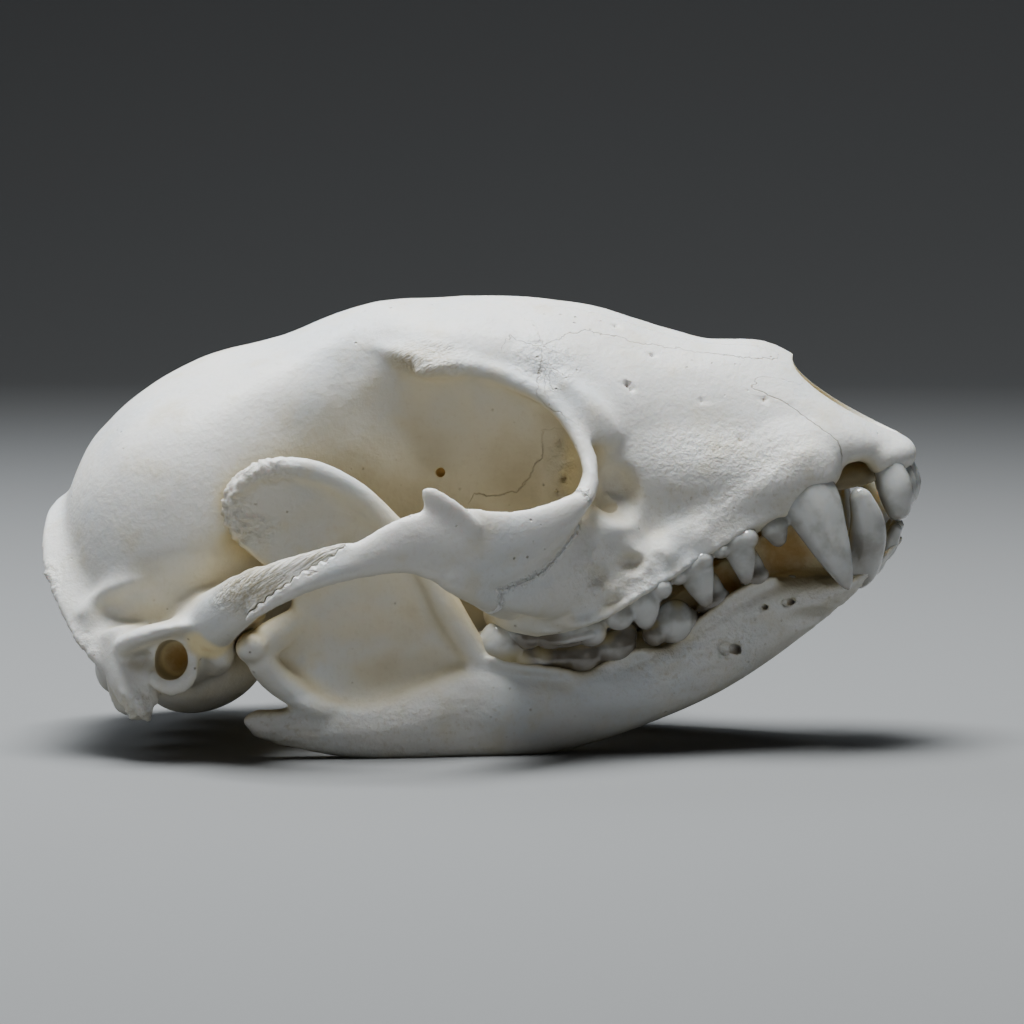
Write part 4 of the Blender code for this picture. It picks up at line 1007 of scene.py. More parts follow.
def jaw_edge(side):
    """The tooth-bearing edge of the upper jaw, from behind the last molar to the canine."""
    path = [
        (1.0, 14.8, 17.6), (5.8, 15.2, 18.0), (12.0, 15.4, 19.0), (20.0, 14.8, 22.8),
        (27.0, 13.4, 26.8), (34.0, 12.0, 30.6), (41.0, 10.8, 34.8), (46.0, 9.0, 37.6),
    ]
    sizes = [
        (3.2, 3.2), (4.0, 3.5), (4.5, 3.5), (4.2, 3.6),
        (2.9, 3.4), (2.4, 3.4), (3.1, 3.9), (2.2, 2.6),
    ]
    return bar(path, sizes, side, blunt=2.5)


def cheek_root(side):
    """The part of the upper jaw that reaches out below the eye to carry the cheek bone."""
    path = [(21.0, 12.6, 27.0), (15.0, 17.0, 24.8), (10.0, 22.0, 23.4), (6.0, 26.6, 22.4), (3.2, 29.2, 21.4)]
    sizes = [(3.4, 6.6), (3.4, 7.6), (2.8, 6.0), (2.0, 4.0), (1.2, 2.2)]
    return [bar(path, sizes, side, blunt=2.0), lump((9.6, 18.0, 20.2), (8.0, 4.2, 5.2), side, tilt=14)]


def brow_and_eye_rim(side):
    """The edge of the brow, its blunt point behind the eye, and the front rim of the socket."""
    path = [
        (-20.0, 7.6, 50.6), (-12.8, 9.8, 50.8), (-8.0, 12.5, 49.7), (-4.8, 14.0, 48.6), (-1.0, 12.9, 48.6),
        (4.6, 12.8, 47.0), (9.8, 14.3, 44.2), (13.2, 16.6, 40.0), (14.7, 19.0, 36.2), (14.0, 21.8, 32.9),
        (11.0, 25.0, 30.8),
    ]
    sizes = [
        (0.8, 0.9), (1.0, 1.1), (1.3, 1.3), (1.4, 1.4), (1.3, 1.3), (1.3, 1.3),
        (1.1, 1.2), (1.0, 1.2), (1.0, 1.3), (1.2, 1.4), (1.1, 1.5),
    ]
    rim = bar(path, sizes, side, up=(0, -0.7, 0.7), blunt=3.0, count=110)
    return [rim, lump((-5.4, 14.0, 48.3), (2.6, 1.8, 1.2), side, tilt=12)]


def rim_slope(side):
    """The bone that runs smoothly from the front rim of the socket to the snout."""
    path = [(8.6, 11.4, 47.6), (12.4, 13.2, 44.8), (15.4, 14.6, 41.4), (17.2, 15.2, 38.0)]
    return bar(path, [(1.4, 2.0), (1.8, 2.4), (1.9, 2.6), (1.2, 2.2)], side, blunt=2.0)


def arch_root(side):
    """The arm of the ear region that runs forward to meet the cheek bone."""
    path = [
        (-34.5, 19.0, 16.6), (-32.6, 24.6, 17.0), (-30.4, 29.4, 18.8), (-26.6, 33.4, 21.6),
        (-21.6, 35.6, 24.6), (-17.0, 36.4, 26.8), (-13.4, 36.5, 28.3),
    ]
    sizes = [(4.6, 4.4), (4.0, 4.0), (2.6, 3.6), (1.9, 3.0), (1.5, 1.8), (1.1, 1.0), (0.6, 0.5)]
    return bar(path, sizes, side, blunt=1.6)


def socket_of_jaw(side):
    """The shelf that roofs the jaw joint and the lip behind it."""
    shelf = bar([(-29.2, 17.6, 18.2), (-29.8, 24.0, 18.8), (-29.8, 30.2, 19.4)],
                [(3.6, 2.8), (3.8, 3.0), (3.0, 2.4)], side, blunt=2.5)
    lip = bar([(-32.8, 16.5, 13.2), (-32.0, 21.6, 13.6), (-30.8, 26.8, 15.2)],
              [(2.4, 3.2), (2.3, 3.4), (1.7, 3.0)], side, blunt=2.0)
    return [shelf, lip, lump((-34.6, 21.8, 15.4), (4.2, 4.6, 4.0), side)]


def ear_region(side):
    """The swollen ear capsule, the bony ear tube, the two knobs behind them, and the ridge above."""
    capsule = lump((-34.6, 12.2, 10.8), (8.4, 6.2, 6.0), side, tilt=24)
    tube = bar([(-35.4, 14.0, 12.0), (-36.4, 20.0, 12.3), (-36.8, 27.0, 12.5)],
               [(3.9, 3.7), (3.5, 3.5), (2.9, 3.0)], side, blunt=0.6)

    # The ring round the opening is missing at the top, and is thickest below.
    rim_turn = np.radians(np.linspace(50, -165, 14))
    rim_path = [(-37.0 + 2.7 * math.cos(a), 27.4, 12.5 + 3.0 * math.sin(a)) for a in rim_turn]
    rim_size = 0.75 + 0.5 * np.clip(-np.sin(rim_turn), 0, 1)
    rim = bar(rim_path, np.column_stack([rim_size, 0.6 * rim_size]), side, up=(0, 1, 0), blunt=1.6, count=80)

    mastoid = bar([(-42.8, 21.4, 16.0), (-42.2, 24.2, 10.6), (-40.7, 26.0, 5.2)],
                  [(4.0, 4.6), (2.7, 3.4), (1.5, 1.6)], side, up=(1, 0, 0), blunt=1.4)
    behind = bar([(-43.5, 15.5, 12.5), (-44.0, 17.6, 8.6), (-43.6, 19.0, 4.8)],
                 [(2.6, 3.4), (1.7, 2.6), (1.0, 1.4)], side, up=(1, 0, 0), blunt=1.4)
    ledge = bar([(-33.0, 26.4, 18.2), (-36.8, 27.4, 16.9), (-40.6, 27.2, 15.8), (-44.0, 25.6, 13.8)],
                [(2.2, 1.5), (2.6, 1.1), (2.6, 1.2), (1.8, 1.5)], side, blunt=2.0)
    ridge = bar([(-49.6, 21.1, 17.2), (-48.2, 20.6, 18.8), (-46.3, 21.0, 20.4), (-44.4, 22.2, 21.5),
                 (-41.9, 23.2, 22.4), (-39.9, 23.4, 22.8), (-36.9, 23.2, 22.5)],
                [(0.9, 0.9), (1.1, 1.0), (1.2, 1.0), (1.2, 1.0), (1.1, 0.9), (0.9, 0.8), (0.6, 0.6)], side)
    return [capsule, tube, rim, mastoid, behind, ledge, ridge]


def neck_joint(side):
    """The rounded knob that sat on the first neck bone."""
    return lump((-45.4, 7.4, 10.6), (3.8, 4.4, 4.8), side, tilt=-30)


def snout_end():
    """The thick rounded edge of the snout that holds the front teeth."""
    path = [(49.6, -7.4, 36.6), (52.8, -5.0, 36.8), (54.0, 0.0, 37.2), (52.8, 5.0, 36.8), (49.6, 7.4, 36.6)]
    return bar(path, [(1.8, 2.0), (2.1, 2.2), (2.0, 2.0), (2.1, 2.2), (1.8, 2.0)], blunt=2.0)


def nape_crest():
    """The thin crest that runs over the back of the skull from ear to ear."""
    half_edge = [
        (-54.9, 0.0, 30.4), (-55.5, 8.0, 28.6), (-55.0, 13.8, 24.4),
        (-52.2, 19.2, 18.6), (-47.8, 23.6, 12.8), (-43.4, 25.6, 9.6),
    ]
    half_root = [
        (-51.0, 0.0, 31.0), (-50.8, 7.4, 29.4), (-49.6, 12.6, 25.8),
        (-46.8, 17.0, 20.6), (-43.4, 20.4, 15.6), (-40.4, 22.0, 12.6),
    ]
    edge = [(x, -y, z) for x, y, z in reversed(half_edge[1:])] + half_edge
    root = [(x, -y, z) for x, y, z in reversed(half_root[1:])] + half_root
    return blade(edge, root, edge_half=0.6, root_half=2.2, count=120)


def rear_palate(side):
    """The side wall of the passage behind the palate, ending in a small hook."""
    wall = blade(
        [(7.0, 7.6, 18.4), (0.0, 7.2, 14.8), (-8.0, 6.6, 11.6), (-15.0, 6.3, 9.4), (-21.0, 6.8, 7.4)],
        [(7.0, 7.6, 24.0), (0.0, 7.2, 24.0), (-8.0, 7.2, 22.0), (-15.0, 8.0, 20.0), (-19.0, 9.0, 18.0)],
        edge_half=0.9, root_half=1.6, side=side)
    hook = bar([(-18.5, 6.6, 9.4), (-21.6, 7.0, 7.6), (-24.4, 8.0, 6.8)],
               [(0.9, 1.4), (0.8, 0.9), (0.5, 0.5)], side, blunt=0.8)
    return [wall, hook]


def palate_shelf():
    """The long bony shelf of the palate, which runs on well behind the last molars."""
    path = [
        (20.0, 0.0, 24.4), (13.0, 0.0, 20.8), (6.5, 0.0, 17.8),
        (0.0, 0.0, 15.4), (-7.0, 0.0, 12.8), (-12.0, 0.0, 11.2),
    ]
    sizes = [(13.0, 1.6), (12.4, 1.5), (9.0, 1.4), (7.9, 1.3), (7.2, 1.1), (6.4, 0.9)]
    return bar(path, sizes, blunt=1.0)


def palate_front():
    """The front of the palate between the canines, seen from the side below the snout's edge."""
    path = [(38.0, 0.0, 33.4), (43.0, 0.0, 33.6), (47.4, 0.0, 34.2), (51.4, 0.0, 35.0)]
    return bar(path, [(7.0, 1.6), (6.4, 1.6), (5.6, 1.6), (4.0, 1.4)], blunt=1.6)


def nose_passage():
    """The passage behind the nose opening, left open as it is once its scroll bones are gone."""
    path = [
        (62.0, 0.0, 53.4), (53.0, 0.0, 46.8), (45.0, 0.0, 43.4),
        (38.0, 0.0, 42.6), (31.0, 0.0, 41.4), (25.0, 0.0, 39.6),
    ]
    sizes = [(6.4, 9.0), (5.4, 6.8), (5.8, 6.4), (5.9, 7.2), (5.2, 6.2), (3.4, 4.0)]
    return bar(path, sizes, blunt=3.0, sides=48)


def spinal_opening():
    """The large opening at the back and the room that it shows behind it."""
    neck = bar([(-60.0, 0.0, 12.6), (-49.4, 0.0, 16.2), (-42.0, 0.0, 19.5)],
               [(7.2, 6.0), (6.8, 5.3), (7.0, 5.6)], blunt=0.5, sides=48)
    return [neck, lump((-39.0, 0.0, 20.6), (8.0, 8.0, 6.4), tilt=16)]


def ear_hole(side):
    """The bore of the ear tube, as far as it is seen from outside."""
    return bar([(-37.4, 31.0, 13.0), (-37.0, 26.0, 12.8), (-36.6, 22.8, 12.6)],
               [(2.2, 2.5), (2.2, 2.5), (1.9, 2.1)], side, blunt=2.0)


def eye_nerve_canal(side):
    """The small round hole at the back of the eye socket."""
    path = [(-5.0, 13.0, 35.5), (-4.8, 10.6, 35.2), (-4.6, 8.8, 35.0)]
    return bar(path, [(0.62, 0.62)] * len(path), side, blunt=0.3, sides=20)


def cheek_hole(side):
    """The large opening in the cheek that led nerves from the eye socket to the snout."""
    path = [(19.0, 15.4, 33.4), (16.6, 16.2, 32.8), (11.0, 17.2, 31.8), (5.0, 18.6, 30.8)]
    return bar(path, [(1.0, 1.6), (1.9, 2.6), (1.9, 2.4), (2.0, 2.2)], side, blunt=1.6)


def throat_passage():
    """The passage above the palate, which opens behind it."""
    path = [(-26.0, 0.0, 9.2), (-15.0, 0.0, 14.0), (-6.0, 0.0, 17.2), (2.0, 0.0, 20.4)]
    return bar(path, [(5.6, 4.6), (5.0, 3.8), (4.6, 2.6), (3.6, 2.0)], blunt=1.5, sides=40)


def rear_tooth_knob(side):
    """The rounded end of the tooth-bearing edge above the last molar."""
    return lump((3.2, 15.4, 17.6), (2.2, 2.6, 2.0), side, tilt=-20)


GUM_LINE = [
    (45.4, 11.8, 35.2), (41.0, 12.3, 33.0), (38.8, 12.6, 31.0), (34.0, 13.9, 28.4), (30.9, 14.9, 26.5),
    (28.4, 15.7, 25.1), (25.9, 16.8, 23.4), (20.9, 18.8, 20.5), (18.5, 19.6, 19.0), (16.6, 19.9, 17.9),
    (14.7, 20.2, 17.2), (11.0, 20.4, 16.2), (7.0, 19.8, 15.8),
]
GUM_SHIFT = (0.0, 0.2, 0.0)


def gum_edge(side):
    """The thin raised edge of bone along the gum line of the upper teeth."""
    line = np.add(GUM_LINE, GUM_SHIFT)
    return bar(line, [(0.8, 0.5)] * len(line), side, blunt=2.0, count=120)


def cheek_bar(side):
    """The curved bar below the eye, which thins out along the arm of the ear region."""
    return bar(CHEEK_PATH, CHEEK_SIZES, side, blunt=0.9, count=90)


def cheek_foot(points, side):
    """The lower front corner of the cheek bone, which curves in to the tooth-bearing edge."""
    return bar(points, [(1.5, 2.0)] * len(points), side, blunt=1.4)


def cheek_point(side):
    """The point that marks the lower rear corner of the eye socket."""
    sizes = [(0.9, 3.4), (1.0, 2.8), (0.9, 1.6), (0.45, 0.6)]
    return bar(CHEEK_POINT, sizes, side, up=(1, 0, 0), blunt=0.8)


CHEEK_GRAIN = 0.3
OWN_FOOT_POINTS = 4
ARM_FROM, ARM_FADE = -13.0, 3.0
SUTURE_GAP, ARM_GAP = 0.02, 0.16
CHEEK_ROOM, ARM_TIGHTER = 0.8, 0.7
FACING_FROM, FACING_FADE = 0.1, 0.5
RAGGED_GRAIN, RAGGED_CHEEK, RAGGED_ARM = 1.5, 0.35, 0.12
SEAM_TOOTH, SEAM_TOOTH_HEIGHT = 1.1, 0.13


def cheek_region():
    """The room that belongs to the right cheek bone, wide of it in front and close to it along the arm.

    Its surface is the suture: ragged in front, and finely toothed along the arm. With it comes the gap
    that each of its points leaves to the cranium.
    """
    foot = cheek_foot(CHEEK_FOOT[:OWN_FOOT_POINTS], RIGHT)
    region = object_from("cheek_region", [cheek_bar(RIGHT), cheek_point(RIGHT), foot])
    fuse(region, CHEEK_GRAIN)
    ease(region.data, rounds=8)
    points, normals = points_of(region.data), normals_of(region.data)
    on_arm = np.clip((ARM_FROM - points[:, 0]) / ARM_FADE, 0, 1)
    facing_arm = np.clip((normals[:, 2] - FACING_FROM) / FACING_FADE, 0, 1)
    growth = CHEEK_ROOM - ARM_TIGHTER * on_arm * facing_arm
    growth += lumps(points / RAGGED_GRAIN) * np.where(on_arm > 0, RAGGED_ARM, RAGGED_CHEEK)
    growth += SEAM_TOOTH_HEIGHT * on_arm * np.sin(points[:, 0] * 2 * np.pi / SEAM_TOOTH)
    set_points(region.data, points + normals * growth[:, None])
    return region, SUTURE_GAP + (ARM_GAP - SUTURE_GAP) * on_arm


def keep_largest(item):
    """Drops every closed surface but the one with the most points."""
    work = bmesh.new()
    work.from_mesh(item.data)
    left = set(work.verts)
    islands = []
    while left:
        front = [left.pop()]
        island = set(front)
        while front:
            for edge in front.pop().link_edges:
                for vert in edge.verts:
                    if vert not in island:
                        island.add(vert)
                        front.append(vert)
        left -= island
        islands.append(island)
    islands.sort(key=len, reverse=True)
    bmesh.ops.delete(work, geom=[vert for island in islands[1:] for vert in island], context="VERTS")
    work.to_mesh(item.data)
    work.free()


def thin_out(item, triangles):
    """Merges faces where the surface is nearly flat, down to the given number of triangles."""
    thinner = item.modifiers.new("Thin", "DECIMATE")
    thinner.ratio = min(1.0, triangles / sum(len(face.vertices) - 2 for face in item.data.polygons))
    apply_modifiers(item)


ARM_START = -9.0
ARM_ZIGZAG = 1.2
CRUST_WIDTH = 0.5
SPLIT_REACH = 1.2


def put_split(mesh, regions):
    """Marks where the bones meet: a dark open seam along the arm, a crumbly white one in front.

    The regions are the rooms of the two cheek bones, whose surfaces are the sutures.
    """
    seam, zigzag = (mesh.attributes[name].data for name in ("seam", "zigzag"))
    crust = np.zeros(len(mesh.vertices))
    for region in regions:
        surface = BVHTree.FromObject(region, bpy.context.evaluated_depsgraph_get())
        for i, vertex in enumerate(mesh.vertices):
            _, _, _, distance = surface.find_nearest(vertex.co, SPLIT_REACH * MM)
            if distance is None:
                continue
            if vertex.co.x > ARM_START * MM:
                crust[i] = max(crust[i], 1 - distance / (CRUST_WIDTH * MM))
            elif distance / MM < abs(seam[i].value):
                seam[i].value = distance / MM
                zigzag[i].value = ARM_ZIGZAG
    put_number(mesh, "crust", crust)


def both_sides(points):
    """The same line on the right and on the left of the skull."""
    return [[(x, side * y, z) for x, y, z in points] for side in BOTH]


FRONTO_NASAL = [
    (8.5, 10.8, 51.3), (9.5, 10.1, 51.9), (12.0, 8.0, 52.9), (14.0, 7.0, 53.0), (16.7, 6.5, 52.5),
    (20.3, 6.2, 51.6), (24.1, 5.6, 50.9), (28.2, 5.1, 50.3), (33.3, 4.8, 49.5), (38.4, 4.2, 49.0),
]
EYE_RIM_SEAM = [
    (8.5, 10.8, 51.3), (8.5, 12.1, 49.5), (8.1, 12.7, 48.0), (8.0, 13.8, 46.3), (8.0, 14.8, 45.0),
    (9.2, 15.2, 43.9), (11.3, 15.8, 42.6), (12.6, 15.4, 41.0), (14.4, 14.4, 39.4),
]
SOCKET_CRACK = [
    (8.3, 11.2, 40.8), (8.5, 11.0, 39.3), (8.0, 10.7, 37.0), (7.2, 10.5, 35.9), (6.5, 10.2, 34.2),
    (5.2, 9.9, 33.0), (3.4, 9.7, 32.5), (1.1, 9.5, 32.1), (-0.2, 9.5, 32.6),
]
SNOUT_SEAM = [
    (34.7, 8.4, 45.9), (37.1, 8.6, 44.9), (39.8, 9.1, 43.5), (43.5, 10.4, 40.9), (46.0, 10.8, 38.4),
    (46.4, 11.0, 36.2),
]
EXTRA_CRACKS = [
    [(8.6, 11.0, 51.2), (6.2, 11.0, 52.0), (4.2, 10.4, 52.8)],
    [(9.8, 12.6, 49.4), (9.2, 13.6, 47.4), (9.8, 14.6, 45.8)],
    [(8.6, 12.4, 48.6), (10.2, 12.8, 48.2), (11.4, 13.2, 47.0)],
    [(13.0, 15.6, 41.0), (12.2, 16.0, 39.0), (11.8, 16.2, 37.0)],
    [(11.6, 20.4, 30.6), (10.6, 22.6, 29.4), (9.4, 24.4, 28.8)],
]
MIDLINE = [
    (-50.0, 0.0, 39.0), (-36.0, 0.0, 49.3), (-14.0, 0.0, 56.4), (8.0, 0.0, 57.0), (24.0, 0.0, 53.0),
    (38.0, 0.0, 51.0),
]

# Each suture or crack of one side, with how far it swings from side to side in millimetres.
PAIRED_SEAMS = [(FRONTO_NASAL, 2.6), (EYE_RIM_SEAM, 2.0), (SOCKET_CRACK, 1.6), (SNOUT_SEAM, 0.8)]
PAIRED_SEAMS += [(crack, 1.2) for crack in EXTRA_CRACKS]

forms = [skull_core(), snout_end(), nape_crest(), palate_shelf(), palate_front()]
hollows = [nose_passage(), *spinal_opening(), throat_passage()]
for side in BOTH:
    forms += [jaw_edge(side), *cheek_root(side), *brow_and_eye_rim(side), rim_slope(side), arch_root(side)]
    forms += [*socket_of_jaw(side), *ear_region(side), neck_joint(side), *rear_palate(side)]
    forms += [rear_tooth_knob(side), gum_edge(side), cheek_bar(side), cheek_point(side)]
    forms += [cheek_foot(CHEEK_FOOT, side)]
    hollows += [ear_hole(side), cheek_hole(side)]
cranium = object_from("skull", forms)
fuse(cranium, CRANIUM_GRAIN)
ease(cranium.data, rounds=22)
sculpt(cranium.data, CRANIUM_STROKES, BOTH)

# The hollows are fused and eased by themselves and taken out, with the room that the jaw needs.
cutter = object_from("hollows", hollows)
fuse(cutter, CRANIUM_GRAIN)
ease(cutter.data, rounds=3)
cut(cranium, cutter)
cut(cranium, object_from("canals", [eye_nerve_canal(RIGHT), eye_nerve_canal(LEFT)]))
cut(cranium, mirrored(jaw_room, "jaw_room_left"))
cut(cranium, jaw_room)
roughen(cranium.data, [*CRANIUM_ROUGH, ROOF_WAVES], BOTH)
roughen(cranium.data, CHEEK_ROUGH, BOTH)
drill(cranium.data, CRANIUM_HOLES, BOTH)

# The cheek bone is what lies in its room, and the cranium is what lies outside that room and its gap.
region, gaps = cheek_region()
cheek_right = copy_of(cranium, "cheek_bone_right")
cut(cheek_right, copy_of(region, "cheek_kept"), "INTERSECT")
keep_largest(cheek_right)
sculpt(cheek_right.data, CHEEK_STROKES, (RIGHT,))
wider = copy_of(region, "cheek_wider", gaps[:, None])
cut(cranium, mirrored(wider, "cheek_wider_left"))
cut(cranium, wider)
keep_largest(cranium)
thin_out(cranium, CRANIUM_TRIANGLES)
seams = [(line, swing) for route, swing in PAIRED_SEAMS for line in both_sides(route)] + [(MIDLINE, 1.2)]
regions = [region, mirrored(region, "cheek_region_left")]
for item in (cranium, cheek_right):
    put_shade(item.data)
    put_seams(item.data, seams)
    put_split(item.data, regions)
    put_spots(item.data, "pit_shade", pits(CRANIUM_HOLES), BOTH)
    put_spots(item.data, "worn", worn_spots(CRANIUM_ROUGH), BOTH)
    put_spots(item.data, "stain_and_shade", CRANIUM_STAINS_AND_SHADE, BOTH)
    put_spots(item.data, "fibre_and_shade", FIBRE_AND_SHADE_SPOTS if item == cranium else [], BOTH)
    item.data.set_sharp_from_angle(angle=SHARP_ANGLE)
for item in regions:
    bpy.data.objects.remove(item)
cheek_left = mirrored(cheek_right, "cheek_bone_left")
finish_piece(cranium, "cranium", bone)
finish_piece(cheek_right, "jugal_right", bone)
finish_piece(cheek_left, "jugal_left", bone)


# Upper teeth. Three incisors, a canine, four premolars and two molars a side, in glossy enamel that
# is milky at the tips, with painted shade that darkens it below, in its recesses and where the teeth
# stand close, where it is also stained. Each cheek tooth is laid up from rounded lobes and cusps, each
# front tooth along its root, and all are sunk in the bone.

TOOTH_GRAIN = 0.2

# Cheek teeth as lobes (centre, radii, tilt) and cusps (path, sizes), and incisors as (path, half width).
UPPER_LOBES = [
    ((37.8, 12.5, 28.4), (1.9, 1.3, 1.2), 30), ((37.4, 12.2, 29.9), (1.4, 1.0, 1.5), 20),
    ((32.6, 13.7, 26.6), (2.8, 1.5, 1.4), 30), ((31.2, 14.4, 25.7), (1.3, 1.3, 1.0), 30),
    ((34.5, 13.7, 27.2), (1.3, 1.5, 1.4), 30),
    ((27.2, 15.2, 23.5), (2.9, 1.8, 1.5), 34), ((26.0, 16.0, 22.5), (1.4, 1.4, 1.0), 32),
    ((28.7, 15.3, 24.5), (1.4, 1.6, 1.4), 32),
    ((20.3, 17.3, 19.6), (4.4, 1.8, 1.8), 35), ((23.6, 17.4, 21.1), (1.4, 1.5, 1.4), 31),
    ((18.3, 18.6, 17.7), (1.9, 1.5, 1.8), 20), ((20.6, 15.2, 19.2), (3.6, 2.8, 2.0), 28),
    ((21.4, 13.0, 18.4), (1.9, 1.6, 1.9), 20), ((18.2, 12.8, 17.2), (1.7, 1.6, 1.8), 20),
    ((12.4, 17.2, 15.8), (4.7, 3.2, 2.1), 13), ((9.9, 18.7, 14.9), (2.0, 1.5, 1.4), 10),
    ((14.8, 18.6, 15.7), (2.0, 1.5, 1.9), 10), ((12.2, 14.4, 15.4), (3.4, 2.8, 1.8), 14),
    ((13.8, 13.2, 14.6), (1.6, 1.5, 1.5), 10), ((10.4, 13.0, 14.0), (1.5, 1.4, 1.4), 10),
    ((5.9, 16.6, 15.4), (3.3, 3.1, 2.0), 6), ((6.8, 18.4, 14.8), (1.7, 1.4, 1.4), 6),
    ((4.4, 17.9, 15.2), (1.5, 1.3, 1.5), 6), ((5.6, 13.4, 14.4), (2.0, 1.6, 1.4), 6),
]
UPPER_CUSPS = [
    ([(37.7, 12.3, 28.6), (38.1, 12.3, 27.4), (38.6, 12.2, 26.0)], [(1.2, 1.8), (1.1, 1.4), (0.6, 0.7)]),
    ([(32.9, 13.3, 27.2), (33.8, 13.3, 24.2), (34.3, 13.2, 21.2)], [(1.5, 2.3), (1.25, 1.7), (0.5, 0.6)]),
    ([(27.5, 14.8, 24.4), (28.4, 14.8, 21.4), (29.4, 14.5, 18.5)], [(1.7, 2.6), (1.4, 1.9), (0.55, 0.65)]),
    ([(20.6, 17.4, 20.8), (21.4, 17.6, 18.4), (21.8, 17.7, 15.9)], [(1.8, 2.5), (1.6, 2.1), (0.65, 0.7)]),
    ([(9.2, 19.8, 14.6), (12.4, 20.1, 14.9), (15.6, 19.7, 15.6)], [(0.55, 0.5), (0.6, 0.5), (0.55, 0.5)]),
]
UPPER_CANINE = [
    (38.6, 9.6, 37.4), (42.2, 11.5, 31.9), (44.2, 12.3, 27.6), (46.0, 12.9, 23.6), (47.2, 13.0, 20.6),
]
UPPER_CANINE_SIZE = [(2.0, 2.8), (2.6, 3.8), (2.2, 2.9), (1.5, 1.75), (0.45, 0.5)]
UPPER_INCISORS = [
    ([(52.6, 1.4, 38.6), (54.4, 1.5, 36.0), (55.3, 1.5, 33.4), (55.1, 1.5, 30.6)], 1.2),
    ([(51.6, 3.6, 38.6), (53.6, 4.1, 36.0), (54.6, 4.3, 33.2), (54.6, 4.3, 30.2)], 1.3),
    ([(50.2, 5.0, 38.6), (52.2, 6.0, 35.6), (53.2, 6.5, 32.6), (53.6, 6.7, 28.9)], 2.05),
]
LEFT_SHIFT = (1.5, 0.0, 0.0)


UPPER_INCISOR_SHAPE = np.array([(0.7, 0.7), (0.85, 0.95), (1.0, 1.1), (0.7, 0.6)])


def cheek_teeth(lobes, cusps, side):
    """The premolars and molars, as overlapping lobes and pointed cusps."""
    crowns = [lump(centre, radii, side, tilt) for centre, radii, tilt in lobes]
    return crowns + [bar(path, sizes, side, up=(1, 0, 0), blunt=0.6) for path, sizes in cusps]


def shifted(path, side):
    """The left canines stand a little further forward than the right ones."""
    return np.add(path, LEFT_SHIFT if side == LEFT else 0)


def upper_teeth(side):
    canine = bar(shifted(UPPER_CANINE, side), UPPER_CANINE_SIZE, side, up=(1, 0, 0.4), blunt=0.8)
    incisors = [
        bar(path, half * UPPER_INCISOR_SHAPE, side, up=(1, 0, 0), blunt=1.0, count=40)
        for path, half in UPPER_INCISORS
    ]
    return [*cheek_teeth(UPPER_LOBES, UPPER_CUSPS, side), canine, *incisors]


# Stains and painted shade between the teeth, and painted shade on the darker places of the enamel, as
# (centre, reach, strength).
GAP_STAINS_AND_SHADE = [
    ((35.6, 12.0, 26.6), (1.4, 4.0, 2.6), 0.8), ((31.0, 13.4, 23.4), (1.6, 3.6, 2.4), 0.9),
    ((25.6, 15.0, 20.0), (1.6, 3.6, 2.4), 0.9), ((16.6, 17.0, 15.6), (1.8, 4.0, 2.2), 0.9),
    ((8.6, 16.6, 13.0), (2.0, 4.0, 2.0), 0.8), ((13.0, 14.6, 11.0), (10.0, 4.0, 1.8), 0.6),
    ((24.0, 10.0, 18.0), (20.0, 3.0, 12.0), 0.7), ((47.0, 6.0, 24.0), (6.0, 3.4, 6.0), 0.5),
    ((4.2, 18.4, 11.6), (4.8, 4.0, 3.2), 0.85),
]
SHADE_SPOTS = [
    ((13.0, 15.0, 11.6), (9.0, 4.4, 4.0), 1.0), ((20.0, 14.6, 14.0), (6.0, 4.0, 4.0), 0.9),
    ((6.4, 17.6, 13.2), (3.6, 3.6, 3.4), 0.8), ((8.6, 19.4, 14.8), (5.0, 3.0, 2.6), 0.9),
    ((12.4, 18.6, 13.4), (5.0, 3.6, 2.6), 0.7),
    ((29.0, 13.4, 18.4), (4.4, 3.4, 3.4), 0.7), ((34.4, 12.2, 21.6), (3.6, 3.4, 3.2), 0.7),
    ((38.0, 12.2, 26.6), (2.4, 2.4, 2.4), 0.6), ((22.0, 17.0, 15.6), (2.4, 3.0, 2.8), 0.6),
    ((48.4, 8.0, 25.0), (4.0, 5.0, 7.0), 0.5), ((46.8, 12.8, 21.4), (2.0, 2.6, 3.6), 0.4),
]
ENAMEL_WHITE = (0.64, 0.65, 0.64, 1)
ENAMEL_GREY = (0.43, 0.43, 0.40, 1)
ENAMEL_PAINTED_SHADE = (0.19, 0.165, 0.13, 1)
ENAMEL_STAIN_AND_SHADE = (0.50, 0.42, 0.23, 1)


